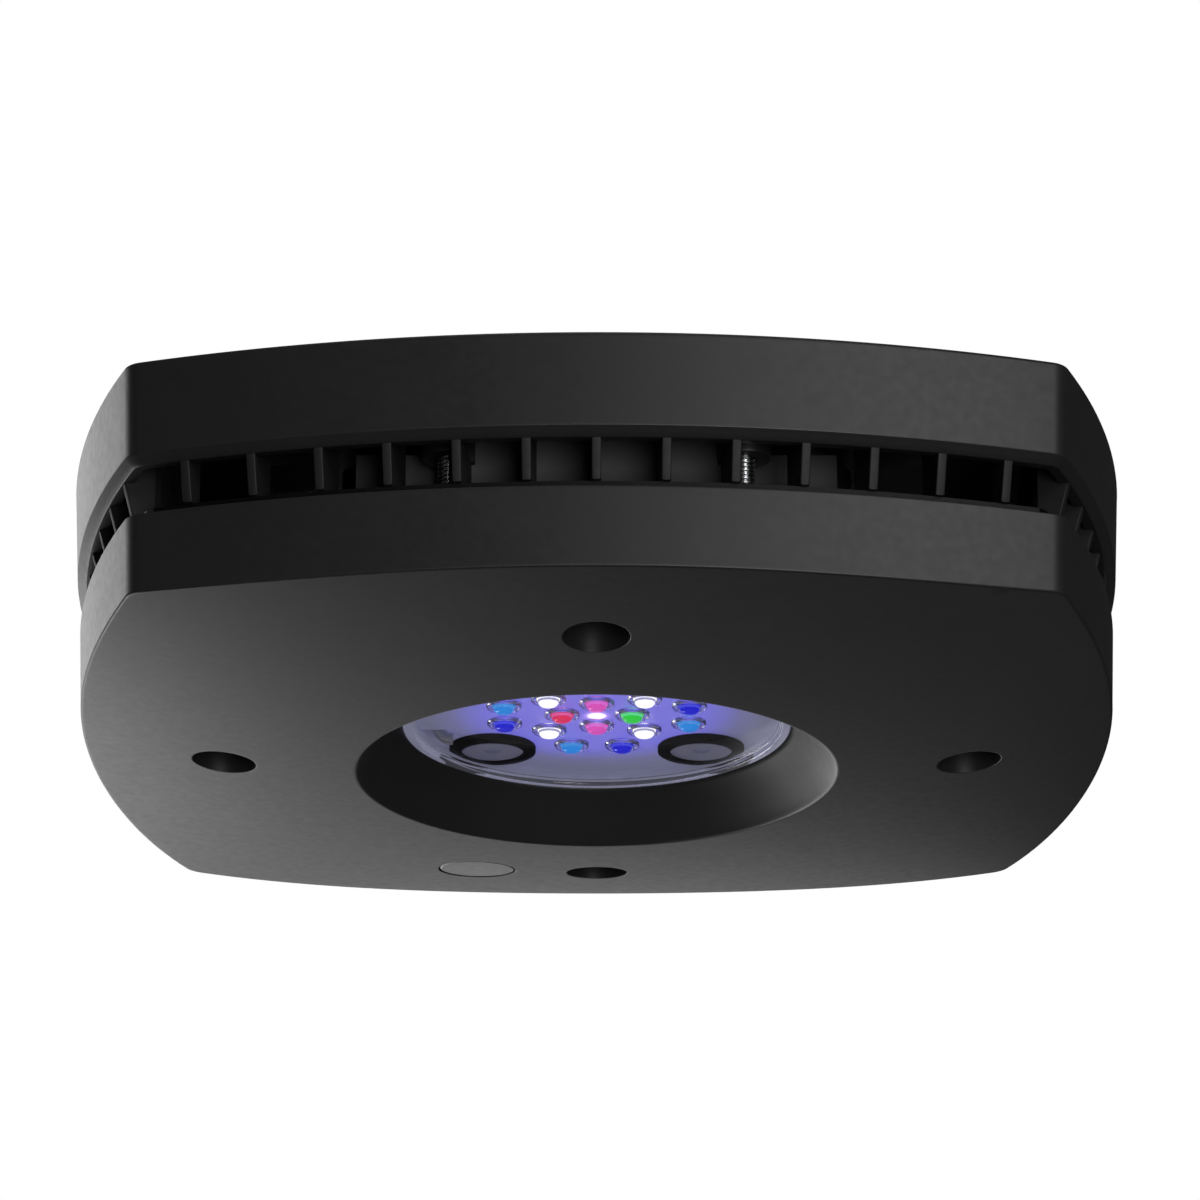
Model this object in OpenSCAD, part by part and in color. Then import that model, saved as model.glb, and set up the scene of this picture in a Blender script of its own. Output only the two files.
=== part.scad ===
// Compact hanging LED aquarium light: two moulded shells with an air vent
// between them, a cast heatsink, a 60 mm fan, sixteen LEDs behind a clear puck.
// Heights in the modules run upwards from the rim of the light recess (the
// lowest point); place() then drops everything so that the top mounting
// plane is z = 0.

/* [Case] */
// Overall width and depth at the top edge
body_w = 125.5; // [124:0.5:127]
// Overall height, recess rim to top plane
body_h = 32.5; // [32:0.5:34]
// Distance from the centre to each bowed side's arc centre
arc_c = 92; // [88:1:96]
// How much the side walls lean out per mm of height
draft = 0.036; // [0.02:0.002:0.04]
// Height of the lower shell's bottom edge above the recess rim
edge_z = 3.9; // [3.7:0.1:4.2]
// Height of the lower shell's top edge
tray_top = 13.3; // [13.2:0.1:13.5]
// Height where the upper shell's outer wall starts
lip_z = 20.5; // [20.3:0.1:20.7]
// Height of the upper shell's outer top edge
shoulder_z = 31.5; // [31.3:0.1:31.6]
// Wall thickness of both shells
wall = 2.4; // [2.2:0.1:2.6]
// Thickness of the lower shell's floor
floor_t = 2.2; // [2:0.1:2.4]
// Amount taken off the four sharp corners
tip_cut = 0.3; // [0.2:0.05:0.6]

/* [Vent] */
// Angle between neighbouring vent ribs, about the side's arc centre
rib_step = 2.95; // [2.9:0.01:3]
// Thickness of a vent rib
rib_t = 1.1; // [0.8:0.1:1.4]
// Half width of the square that the ribs' inner ends lie on
rib_in = 50.6; // [50.6:0.1:51.2]

/* [Light opening] */
// Radius of the recess at its rim
recess_r = 29; // [28.6:0.1:29.4]
// Radius of the recess at the lens
throat_r = 23.7; // [23.65:0.01:23.8]
// Radius of the lens puck
lens_r = 23.5; // [23.3:0.1:23.5]

/* [Screws and mounts] */
// Distance of the four case screws from the centre
well_d = 45; // [44.8:0.1:45.2]
// Radius of the screw wells in the underside
well_r = 3.85; // [3.6:0.05:4]
// Half spacing of the four top mounting inserts
mount_s = 36; // [35.5:0.5:36.5]
// Bore radius of a top mounting insert
mount_r = 2; // [1.6:0.1:2]
// Half spacing, across the body, of the heatsink screws
hs_x = 16.8; // [16.7:0.1:16.9]
// Distance, towards the vents, of the heatsink screws
hs_y = 51.6; // [51.5:0.1:51.7]

/* [Button] */
// Centre of the push button
btn = [-15.3, 43.6];
// Radius of the push button
btn_r = 4.8; // [4.7:0.05:4.85]
// Travel of the push button
btn_travel = 0.4; // [0.3:0.05:0.45]

/* [Fan] */
// Outer size of the square fan frame
fan_w = 60; // [60:0.5:60.5]
// Half spacing of the fan's screw holes
fan_s = 25; // [25:0.1:25.2]
// Number of blades
blades = 7; // [5:1:9]

/* [Hidden] */
$fn = 48;
eps = 0.01;

black = [0.11, 0.11, 0.12];
dark = [0.07, 0.07, 0.075];
steel = [0.72, 0.72, 0.74];
brass = [0.80, 0.63, 0.30];

half_top = body_w / 2;
deck_z = 10.8;        // underside of the heatsink plate
ceil_z = 30.3;        // underside of the top plate
chin_z = lip_z - 1.1; // foot of the upper wall, below its chamfer
chin_in = 1;          // how far that foot is set in
lip_top = 14.8;       // top of the heatsink's raised edge, under the ribs

lens_face = 6.3;      // outer face of the clear window
lens_back = 6.9;      // inner face of the clear window
board_z = 8.1;        // component side of the LED board
board_back = 9.7;     // its back, against the thermal pad
pad_back = 10;        // back of the pad, against the heatsink's pedestal

fan_z = 18.6;         // underside of the fan frame
fan_h = 10;

white_at = [[5.8, 5.8], [-5.8, 5.8], [5.8, -5.8], [-5.8, -5.8]];
violet_at = [[0, 4.2], [0, -4.2]];
red_at = [[-4.2, 0]];
green_at = [[4.3, 0]];
royal_at = [[11.2, -3.2], [-11.2, 3.2], [3.1, 11.5], [-3.1, -11.5]];
light_at = [[-11.2, -3.2], [11.2, 3.2], [-3.1, 11.5], [3.1, -11.5]];
all_leds = concat(white_at, violet_at, red_at, green_at, royal_at, light_at);
window_at = [[12.85, 12.85], [-12.85, 12.85], [12.85, -12.85], [-12.85, -12.85]];
wells_at = [[0, -well_d], [well_d, 0], [0, well_d], [-well_d, 0]];
mounts_at = [[mount_s, mount_s], [-mount_s, mount_s], [mount_s, -mount_s], [-mount_s, -mount_s]];
fan_at = [[fan_s, fan_s], [-fan_s, fan_s], [fan_s, -fan_s], [-fan_s, -fan_s]];
hs_at = [[hs_x, hs_y], [-hs_x, hs_y], [hs_x, -hs_y], [-hs_x, -hs_y]];
holder_at = [[22.7, -42.6], [-22.7, -42.6]];
driver_at = [[-34.8, -27.5], [-34.8, 27.5], [-45.5, -24], [-45.5, 24]];
control_at = [[-33, 38.4], [-9.7, 37.9]];
grommet_at = [[-27.8, 8], [-38.6, 35]];
jack_at = [8.8, -43.6];

module place() { translate([0, 0, -body_h]) children(); }
module at(points) { for (p = points) translate([p[0], p[1], 0]) children(); }
module rod(z0, z1, r) { translate([0, 0, z0]) cylinder(h = z1 - z0, r = r); }
module tube(z0, z1, r, bore) {
    difference() {
        rod(z0, z1, r);
        rod(z0 - 1, z1 + 1, bore);
    }
}
module block(a, b) { translate(a) cube(b - a); }

// Plan outline: four bowed sides, each an arc of radius side_r about a point
// on the far side, drafted so that the body widens upwards.
function half_w(z) = half_top - (shoulder_z - z) * draft;
function side_r(z, inset) = arc_c + half_w(z) - inset;
function tip_r(z, inset) = let (r = side_r(z, inset))
    (sqrt(2 * r * r - arc_c * arc_c) - arc_c) / sqrt(2) - tip_cut;
module side_cone(a, z0, z1, in0, in1) {
    rotate([0, 0, a]) translate([0, arc_c, z0])
        cylinder(h = z1 - z0, r1 = side_r(z0, in0), r2 = side_r(z1, in1), $fn = 180);
}
module envelope(z0, z1, in0 = 0, in1 = 0) {
    intersection() {
        side_cone(0, z0, z1, in0, in1);
        side_cone(90, z0, z1, in0, in1);
        side_cone(180, z0, z1, in0, in1);
        side_cone(270, z0, z1, in0, in1);
        translate([0, 0, z0]) cylinder(h = z1 - z0, r1 = tip_r(z0, in0), r2 = tip_r(z1, in1), $fn = 180);
    }
}

// Underside: a very shallow dome from the recess rim out to a level edge.
dome_edge = half_w(edge_z) - 1;
function dome(r) = r >= dome_edge ? edge_z
    : edge_z * (r * r - recess_r * recess_r) / (dome_edge * dome_edge - recess_r * recess_r);
module above_dome(lift) {
    rotate_extrude($fn = 120) polygon(concat(
        [for (r = [0:5:60]) [r, dome(r) + lift]],
        [[dome_edge, edge_z + lift], [95, edge_z + lift], [95, 45], [0, 45]]));
}
// Top: a flat round plateau that slopes off to the shoulder.
module below_crown() {
    rotate_extrude($fn = 120) polygon([[0, -5], [95, -5], [95, shoulder_z], [64, shoulder_z],
        [60, shoulder_z + 0.45], [55, body_h - 0.1], [52, body_h], [0, body_h]]);
}

module bottom_cover() color(black) place() difference() {
    intersection() {
        envelope(-1, tray_top);
        above_dome(0);
    }
    difference() {
        union() {
            intersection() {
                envelope(-1, deck_z + eps, wall + 1.8, wall + 1.8);
                above_dome(floor_t);
            }
            envelope(deck_z, tray_top + 1, wall, wall);
        }
        rod(-2, 9.4, 31.5);
        at(wells_at) rod(-2, deck_z, 5.6);
        translate([btn[0], btn[1], 0]) rod(-2, 4.6, 7);
        at(control_at) rod(-2, 8.4, 2);
    }
    // light recess, throat and lens seat
    rotate_extrude($fn = 96) polygon([[0, -2],
        [recess_r + 2 * (recess_r - throat_r) / 5.8, -2], [throat_r, 5.8],
        [throat_r, 6.8], [28.1, 6.8], [28.1, 15], [0, 15]]);
    at(wells_at) rod(-3, 9.3, well_r);
    at(wells_at) rod(9, 12, 1.7);
    translate([btn[0], btn[1], 0]) {
        rod(-3, 6, btn_r + 0.15);
        rod(4.6, 8, btn_r + 1.1);
    }
    at(control_at) rod(5, 9, 1);
}

module side_ribs() {
    intersection() {
        for (n = [-6:6]) let (inner = (arc_c + rib_in) / cos(n * rib_step))
            translate([0, arc_c, 0]) rotate([0, 0, n * rib_step])
                block([-rib_t / 2, -157, lip_top + 0.05], [rib_t / 2, -inner, ceil_z + 0.2]);
        union() {
            side_cone(0, tray_top, chin_z, 2.4, chin_in);
            side_cone(0, chin_z - eps, ceil_z + 1, chin_in, chin_in + 0.2);
        }
    }
}
module top_cover() color(black) place() difference() {
    union() {
        intersection() {
            difference() {
                union() {
                    envelope(lip_z, body_h + 0.5);
                    envelope(chin_z, lip_z + eps, chin_in, 0);
                }
                envelope(chin_z - 1, ceil_z, wall, wall);
            }
            below_crown();
        }
        for (a = [0, 90, 180, 270]) rotate([0, 0, a]) side_ribs();
        at(wells_at) rod(tray_top + 0.05, ceil_z + 0.3, 3.5);
        at(hs_at) rod(lip_z - 0.1, ceil_z + 0.3, 3);
        at(fan_at) rod(fan_z + fan_h, ceil_z + 0.3, 3.6);
        at(mounts_at) rod(24, ceil_z + 0.3, 4.6);
    }
    rod(20, 40, 27.8);
    rod(31.3, 40, 29.2);
    at(wells_at) rod(12, 26, 1.53);
    at(hs_at) rod(19, 28, 1.28);
    at(fan_at) rod(28, 31.2, 1.53);
    at(mounts_at) rod(24.9, 40, 2.8);
    translate([jack_at[0], jack_at[1], 0]) rod(28, 40, 4.1);
}

module intake_grille() color(dark) place() {
    tube(31.3, body_h, 29.1, 26.2);
    for (r = [5.2:4.2:22.1]) tube(31.5, body_h - 0.1, r + 0.7, r - 0.7);
    for (a = [0:60:359]) rotate([0, 0, a]) block([4.8, -0.8, 31.5], [26.4, 0.8, body_h - 0.1]);
    for (a = [30:90:359]) rotate([0, 0, a]) {
        block([26.3, -2, 29.4], [27.6, 2, 31.4]);
        block([27.5, -2, 29.4], [28.2, 2, 30.2]);
    }
}

module mount_inserts() color(brass) place() at(mounts_at) tube(24.9, body_h, 2.8, mount_r);

module cap_screw(z_seat, head_h, head_r, shank_r, tip) {
    // socket head below the seat, shank upwards to the tip
    difference() {
        union() {
            rod(z_seat - head_h, z_seat, head_r);
            rod(z_seat - eps, tip, shank_r);
        }
        translate([0, 0, z_seat - head_h - 1]) cylinder(h = 1 + head_h * 0.55, r = head_r * 0.52, $fn = 6);
    }
}
module pan_screw(z_seat, head_h, head_r, shank_r, tip) {
    // head above the seat, shank downwards to the tip, cross recess
    difference() {
        union() {
            rod(z_seat, z_seat + head_h, head_r);
            rod(tip, z_seat + eps, shank_r);
        }
        block([-head_r * 0.55, -0.2, z_seat + head_h * 0.4], [head_r * 0.55, 0.2, z_seat + head_h + 1]);
        block([-0.2, -head_r * 0.55, z_seat + head_h * 0.4], [0.2, head_r * 0.55, z_seat + head_h + 1]);
    }
}
module case_screws() color(steel) place() at(wells_at) cap_screw(9.3, 3, 2.75, 1.5, 25);
module heatsink_screws() color(steel) place() at(hs_at) cap_screw(deck_z, 2.4, 2.25, 1.25, 27.5);
module fan_screws() color(steel) place() at(fan_at) cap_screw(fan_z, 2.2, 2.7, 1.5, 31);
module led_board_screws() color(steel) place() at(window_at) difference() {
    union() {
        rod(board_z - 0.5, board_z, 3.8);
        rod(board_z - eps, 14, 1.25);
    }
    translate([0, 0, board_z - 1]) cylinder(h = 0.85, r = 1.1, $fn = 6);
}
module holder_screws() color(steel) place() at(holder_at) pan_screw(14.9, 1.3, 2.2, 1.05, 11);
module driver_screws() color(steel) place() at(driver_at) pan_screw(17.8, 1.2, 2.1, 1.05, 13.6);
module control_screws() color(steel) place() at(control_at) pan_screw(9.6, 0.9, 1.8, 0.95, 5.4);

// Clear window with a raised rim and a flange that is clamped under the heatsink
module lens() color([0.9, 0.92, 1, 0.4]) place() difference() {
    rotate_extrude($fn = 96) polygon([[0, lens_face], [lens_r - 1.2, lens_face], [lens_r - 1.2, 5.7],
        [lens_r, 5.7], [lens_r, 7.4], [27.9, 7.4], [27.9, 10.75], [25, 10.75],
        [25, board_z - 0.05], [lens_r - 1.3, board_z - 0.05], [lens_r - 1.3, lens_back], [0, lens_back]]);
    // way out for the leads of the LED board
    block([-28.2, 6.4, 9.2], [-23, 9.6, 12]);
    // room for the washers at the edge of the LED board
    at(window_at) rod(7.15, 8.2, 5.6);
}
module lens_gasket() color([0.2, 0.2, 0.2]) place() tube(6.8, 7.4, 27.7, 24.2);
module board_washers() color(dark) place() at(window_at)
    rotate_extrude($fn = 64) polygon([[3.88, board_z - 0.85], [4.1, board_z - 0.85], [5.34, board_z - 0.6],
        [5.34, board_z], [3.88, board_z]]);
module lead_notch() { block([-25, 6.2, 7], [-18.3, 9.8, deck_z]); }

module led_board() color([0.93, 0.93, 0.95]) place() difference() {
    rod(board_z, board_back, 24.3);
    at(window_at) rod(7, 13, 1.4);
    lead_notch();
}
module led() {
    block([-1.5, -1.5, board_z - 0.3], [1.5, 1.5, board_z]);
    translate([0, 0, board_z - 1.1]) cylinder(h = 0.81, r1 = 0.95, r2 = 1.35);
}
module leds_white() color([0.95, 0.95, 0.9]) place() at(white_at) led();
module leds_royal_blue() color([0.15, 0.15, 0.9]) place() at(royal_at) led();
module leds_light_blue() color([0.25, 0.6, 1]) place() at(light_at) led();
module leds_violet() color([0.95, 0.45, 0.85]) place() at(violet_at) led();
module led_red() color([0.95, 0.1, 0.3]) place() at(red_at) led();
module led_green() color([0.1, 0.9, 0.25]) place() at(green_at) led();
module thermal_pad() color([0.6, 0.6, 0.62]) place() difference() {
    rod(board_back, pad_back, 24);
    at(window_at) rod(9, 13, 1.4);
    lead_notch();
}

module heatsink() color([0.14, 0.14, 0.15]) place() difference() {
    union() {
        envelope(deck_z, tray_top, wall + 0.15, wall + 0.15);
        difference() {
            envelope(tray_top - eps, lip_top, wall + 0.15, wall + 0.15);
            envelope(tray_top - 1, lip_top + 1, wall + 2, wall + 2);
        }
        rod(tray_top - eps, 14.6, 30);
        rod(pad_back, deck_z + eps, 24);
        intersection() {
            for (a = [5:10:359]) rotate([0, 0, a]) block([14, -0.7, tray_top - 0.1], [46, 0.7, 18.2]);
            block([-31, -34, 10], [49, 49, 20]);
        }
        at(driver_at) rod(tray_top - 0.1, 16.2, 2.2);
    }
    lead_notch();
    at(wells_at) rod(9, 16, 1.7);
    at(wells_at) rod(tray_top, 20, 4.3);
    at(hs_at) rod(9, 16, 1.4);
    at(holder_at) rod(9, 16, 1.07);
    at(window_at) rod(9, 14.2, 1.27);
    at(fan_at) rod(15.9, 20, 3.4);
    at(driver_at) rod(13.4, 18, 1.07);
    at(grommet_at) rod(9, 16, 3);
    translate([-27.8, 8, 0]) rod(tray_top, 20, 4);
}

module inlet_holder() color(dark) place() difference() {
    union() {
        block([-15.7, -50.5, 13.35], [15.7, -49.1, 30.2]);
        for (s = [0, 1]) mirror([s, 0, 0]) {
            block([14.3, -49.2, 13.35], [15.7, -38, 30.2]);
            block([15.6, -46.5, 13.35], [27.5, -45, 23]);
            block([18, -45.1, 13.35], [27.5, -40, 14.9]);
        }
        block([-15.7, -49.2, 13.35], [15.7, -38, 14.6]);
        block([4.3, -48.6, 14.5], [13.3, -38.9, 17.95]);
    }
    at(hs_at) rod(20.2, 32, 3.2);
    at(holder_at) rod(12, 18, 1.3);
    translate([0, -well_d, 0]) rod(12, 18, 3.9);
}

module dc_jack() color([0.09, 0.09, 0.09]) place() translate([jack_at[0], jack_at[1], 0]) difference() {
    union() {
        block([-4.5, -4.7, 18], [4.5, 4.7, 30.2]);
        rod(30, 32.2, 4);
    }
    rod(22.5, 34, 2.9);
    rod(17, 23, 1.4);
    block([-3.8, -1, 19.9], [-2.4, 1, 28.1]);
    block([-3.8, -1, 19.9], [-3.3, 5, 21.1]);
    block([1, 0, 19.9], [1.6, 5, 21.1]);
}
module dc_jack_pin() color(steel) place() translate([jack_at[0], jack_at[1], 0]) {
    rod(22.5, 31.4, 1.05);
    rod(18.2, 22.5 + eps, 1.4);
}
module dc_jack_contacts() color(brass) place() translate([jack_at[0], jack_at[1], 0]) {
    block([-3.75, -0.95, 20], [-3.35, 0.95, 28]);
    block([-3.75, -0.95, 20], [-3.35, 6.2, 21]);
    block([1.45, 0.35, 20], [1.55, 6.2, 21]);
}

module driver_board() color([0.1, 0.35, 0.18]) place() difference() {
    block([-48.5, -31, 16.2], [-31.6, 31, 17.8]);
    at(wells_at) rod(15, 19, 4.2);
    at(driver_at) rod(15, 19, 1.3);
}
module power_inductors() color([0.25, 0.25, 0.27]) place()
    for (y = [-18, -9.5, 12, 20.5]) intersection() {
        block([-41.6, y - 2.9, 17.8], [-35.8, y + 2.9, 21.8]);
        translate([-38.7, y, 0]) rod(17, 22, 3.9);
    }
module power_capacitors() color([0.35, 0.36, 0.4]) place()
    for (p = [[-45, -9.5], [-45, 9.5], [-45, 16]]) translate([p[0], p[1], 0]) {
        rod(17.8, 25, 3);
        rod(25 - eps, 25.3, 2.6);
    }
module driver_chips() color([0.08, 0.08, 0.08]) place() {
    block([-41.5, -2.8, 17.8], [-36, 2.8, 19]);
    block([-48, -17, 17.8], [-43.2, -13.4, 19]);
    block([-47.5, 19.9, 17.8], [-43.5, 21.4, 18.8]);
}
module board_connectors() color([0.92, 0.9, 0.84]) place() {
    difference() {
        block([-35.6, -25.2, 17.8], [-32.2, -21, 21.6]);
        block([-36, -24.4, 19], [-33, -21.8, 22]);
    }
    difference() {
        block([-35.6, 3.6, 17.8], [-32.2, 10, 21.6]);
        block([-34.8, 4.4, 19], [-33, 9.2, 22]);
    }
    difference() {
        block([-43, 26, 17.8], [-37.4, 29.6, 21.6]);
        block([-42.2, 26.8, 19], [-38.2, 28.8, 22]);
    }
}

module fan_frame() color(dark) place() difference() {
    union() {
        difference() {
            union() {
                block([-fan_w / 2, -fan_w / 2 + 4, fan_z], [fan_w / 2, fan_w / 2 - 4, fan_z + fan_h]);
                block([-fan_w / 2 + 4, -fan_w / 2, fan_z], [fan_w / 2 - 4, fan_w / 2, fan_z + fan_h]);
                at([for (p = fan_at) [sign(p[0]) * (fan_w / 2 - 4), sign(p[1]) * (fan_w / 2 - 4)]])
                    rod(fan_z, fan_z + fan_h, 4);
            }
            rod(fan_z - 1, fan_z + fan_h + 1, 28.3);
        }
        rod(fan_z, fan_z + 1, 12);
        for (a = [45:90:359]) rotate([0, 0, a]) block([11, -1.4, fan_z], [29, 1.4, fan_z + 1.2]);
        rod(fan_z, 25.5, 3.4);
    }
    rod(20, 27, 2.6);
    at(fan_at) rod(fan_z - 1, fan_z + fan_h + 1, 2.15);
    // way out for the fan's leads
    block([-13, 4.3, 19.05], [-8.2, 6.3, 19.7]);
    block([-31, 4.4, 18.5], [-26, 6.2, 19.9]);
}
module fan_bearing() color([0.6, 0.42, 0.22]) place() tube(20.3, 25.4, 2.6, 1.03);
module fan_circuit() color([0.1, 0.35, 0.18]) place() tube(19.7, 20.3, 10, 3.5);
module fan_stator() color([0.4, 0.4, 0.42]) place() difference() {
    union() {
        rod(21.4, 24.6, 4.8);
        for (a = [0:90:359]) rotate([0, 0, a]) {
            block([4, -1.2, 21.4], [9, 1.2, 24.6]);
            intersection() {
                block([8.4, -5, 21.4], [11, 5, 24.6]);
                rod(20, 26, 9.8);
            }
        }
    }
    rod(20, 27, 3.4);
}
module fan_coils() color([0.72, 0.35, 0.15]) place()
    for (a = [0:90:359]) rotate([0, 0, a]) difference() {
        block([5.3, -2.6, 20.6], [8.3, 2.6, 25.4]);
        block([5, -1.2, 21.4], [9, 1.2, 24.6]);
    }
module fan_rotor() color(dark) place() {
    difference() {
        rod(20.3, 28, 12.5);
        difference() {
            rod(19, 27, 11.7);
            rod(25.9, 28, 2.4);
        }
        rod(20, 27.6, 1);
    }
    intersection() {
        for (i = [0:blades - 1]) rotate([0, 0, i * 360 / blades])
            translate([0, 0, 24.2]) rotate([40, 0, 0]) block([12, -5.3, -0.5], [30, 5.3, 0.5]);
        tube(20, 28.4, 27.4, 12.2);
    }
}
module fan_magnet() color([0.3, 0.3, 0.3]) place() tube(20.8, 25.8, 11.7, 10.6);
module fan_shaft() color(steel) place() rod(20.6, 27.6, 1);

module button_cap() color([0.16, 0.16, 0.17]) place() difference() {
    intersection() {
        translate([btn[0], btn[1], 0]) union() {
            rod(-1, 4.7, btn_r);
            rod(4.65, 5.4, btn_r + 0.8);
            rod(5.3, 5.8, 1.8);
        }
        above_dome(0.05);
    }
}
module switch_plunger() color([0.85, 0.85, 0.85]) place() translate([btn[0], btn[1], 0]) rod(5.8, 7.3, 1.55);
module switch_body() color([0.1, 0.1, 0.1]) place() translate([btn[0], btn[1], 0]) difference() {
    block([-3, -3, 6.5], [3, 3, 8.4]);
    rod(6, 7.9, 1.65);
}
module control_board() color([0.1, 0.35, 0.18]) place() difference() {
    block([-35.2, 36, 8.4], [-7.6, 47.5, 9.6]);
    at(control_at) rod(8, 10, 1.1);
}
module wifi_module() color([0.75, 0.75, 0.77]) place() {
    block([-31, 37.6, 7.6], [-21.6, 47, 8.4]);
    block([-30.4, 38.2, 6], [-22.2, 44, 7.6 + eps]);
}
module lead_grommets() color(dark) place() at(grommet_at) {
    tube(deck_z + 0.05, 13.9, 3, 1.6);
    tube(13.35, 14.3, 3.9, 1.6);
}

// A lead: a round tube swept along a smooth curve through the given points.
function unit(v) = v / norm(v);
function smooth_path(p, k) = concat(
    [for (i = [0:len(p) - 2]) for (j = [0:k - 1])
        let (t = j / k, a = p[max(i - 1, 0)], b = p[i], c = p[i + 1], d = p[min(i + 2, len(p) - 1)])
        0.5 * (2 * b + (c - a) * t + (2 * a - 5 * b + 4 * c - d) * t * t + (3 * b - a - 3 * c + d) * t * t * t)],
    [p[len(p) - 1]]);
function tangents(q) = [for (i = [0:len(q) - 1]) unit(q[min(i + 1, len(q) - 1)] - q[max(i - 1, 0)])];
function normals(t) = [for (i = 0, n = unit(cross(t[0], [0.31, 0.52, 0.79])); i < len(t);
    i = i + 1, n = i < len(t) ? unit(n - (n * t[i]) * t[i]) : n) n];
module wire(points, r) {
    m = 8;
    q = smooth_path(points, 3);
    t = tangents(q);
    n = normals(t);
    last = len(q) - 1;
    polyhedron(
        points = [for (i = [0:last]) for (k = [0:m - 1])
            q[i] + r * (cos(360 * k / m) * n[i] + sin(360 * k / m) * cross(t[i], n[i]))],
        faces = concat([[for (k = [0:m - 1]) k]], [[for (k = [m - 1:-1:0]) last * m + k]],
            [for (i = [0:last - 1]) for (k = [0:m - 1]) let (j = (k + 1) % m)
                each [[i * m + k, (i + 1) * m + k, (i + 1) * m + j], [i * m + k, (i + 1) * m + j, i * m + j]]]));
}
module led_leads() color([0.85, 0.85, 0.85]) place() for (s = [-0.75, 0.75])
    wire([[-17.6, 8 + s, 7.5], [-18.6, 8 + s, 7.65], [-19.4, 8 + s, 8.4], [-19.9, 8 + s, 9.2],
        [-21.5, 8 + s, 9.8], [-25.5, 8 + s, 9.95], [-27.6, 8 + s, 10.8],
        [-27.8, 8 + s, 13], [-27.8, 8 + s, 15.8], [-29.4, 7.9 + s, 17.2], [-31.1, 7.7 + s, 18.8],
        [-31.2, 7.6 + s, 21.2], [-31.9, 7.6 + s, 22.8], [-33.3, 7.6 + s, 23], [-34, 7.6 + s, 21.8],
        [-34, 7.6 + s, 20.4], [-34, 7.6 + s, 19.1]], 0.5);
module power_leads() color([0.1, 0.1, 0.1]) place() for (s = [0, 1])
    wire([[5.3 + s * 5, -37.3, 20.5], [3 + s * 3, -36, 20.5 - s * 1.5], [-10, -35 - s * 0.4, 20.5 - s * 1.5],
        [-26, -34.4 - s * 0.2, 20.5 - s * 1.5], [-31, -29.5, 23 - s * 1.5], [-33.4 - s * 0.6, -25.6 + s * 0.6, 23.2 - s * 0.2],
        [-34 - s * 0.9, -23.75 + s * 1.3, 22], [-34 - s * 0.9, -23.75 + s * 1.3, 20.5],
        [-34 - s * 0.9, -23.75 + s * 1.3, 19.1]], 0.5);
module fan_leads() color([0.75, 0.15, 0.1]) place() for (s = [-0.42, 0.42])
    wire([[-8.4, 5.25 + s, 19.38], [-14, 5.25 + s, 19.38], [-21, 5.25 + s, 19.38], [-28, 5.25 + s, 19.38],
        [-30.2, 5.25 + s, 19.5], [-31.1, 5.25 + s, 20.6], [-31.4, 5.25 + s, 22.2], [-32.4, 5.25 + s, 23.1],
        [-33.5, 5.25 + s, 22.4], [-33.6, 5.25 + s, 20.8], [-33.6, 5.25 + s, 19.1]], 0.3);
module control_leads() color([0.8, 0.8, 0.8]) place() for (s = [-0.65, 0.65])
    wire([[-36.6, 38.8 + s, 9.1], [-38, 36.6 + s, 9.4], [-38.6, 35 + s, 10.6], [-38.6, 35 + s, 16.6],
        [-39.2, 32.6 + s, 20.5], [-39.8 + s, 29.6, 22.4], [-40 + s, 27.8, 21.8], [-40 + s, 27.8, 19.1]], 0.45);

bottom_cover();
top_cover();
intake_grille();
mount_inserts();
case_screws();
lens();
lens_gasket();
board_washers();
led_board();
leds_white();
leds_royal_blue();
leds_light_blue();
leds_violet();
led_red();
led_green();
thermal_pad();
led_board_screws();
heatsink();
heatsink_screws();
inlet_holder();
holder_screws();
dc_jack();
dc_jack_pin();
dc_jack_contacts();
driver_board();
driver_screws();
power_inductors();
power_capacitors();
driver_chips();
board_connectors();
fan_frame();
fan_screws();
fan_stator();
fan_coils();
fan_bearing();
fan_circuit();
fan_rotor();
fan_magnet();
fan_shaft();
button_cap();
switch_body();
switch_plunger();
control_board();
control_screws();
wifi_module();
lead_grommets();
led_leads();
power_leads();
fan_leads();
control_leads();
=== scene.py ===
import math

import bpy
import numpy as np
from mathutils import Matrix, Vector
from mathutils.geometry import delaunay_2d_cdt


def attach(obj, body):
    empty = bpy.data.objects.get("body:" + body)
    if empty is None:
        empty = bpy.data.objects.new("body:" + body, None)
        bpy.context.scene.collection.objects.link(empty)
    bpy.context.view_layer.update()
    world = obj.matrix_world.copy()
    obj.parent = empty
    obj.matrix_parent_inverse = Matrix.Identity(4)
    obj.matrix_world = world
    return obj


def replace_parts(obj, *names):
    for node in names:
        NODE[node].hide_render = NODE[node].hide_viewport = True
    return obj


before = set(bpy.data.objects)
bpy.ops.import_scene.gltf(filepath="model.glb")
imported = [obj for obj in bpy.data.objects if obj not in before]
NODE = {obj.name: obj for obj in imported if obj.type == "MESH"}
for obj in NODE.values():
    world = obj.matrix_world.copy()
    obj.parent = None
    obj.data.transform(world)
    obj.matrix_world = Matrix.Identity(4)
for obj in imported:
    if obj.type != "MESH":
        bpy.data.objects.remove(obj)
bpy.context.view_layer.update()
TAU = 2 * math.pi
SIN, COS = math.sin, math.cos

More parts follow.
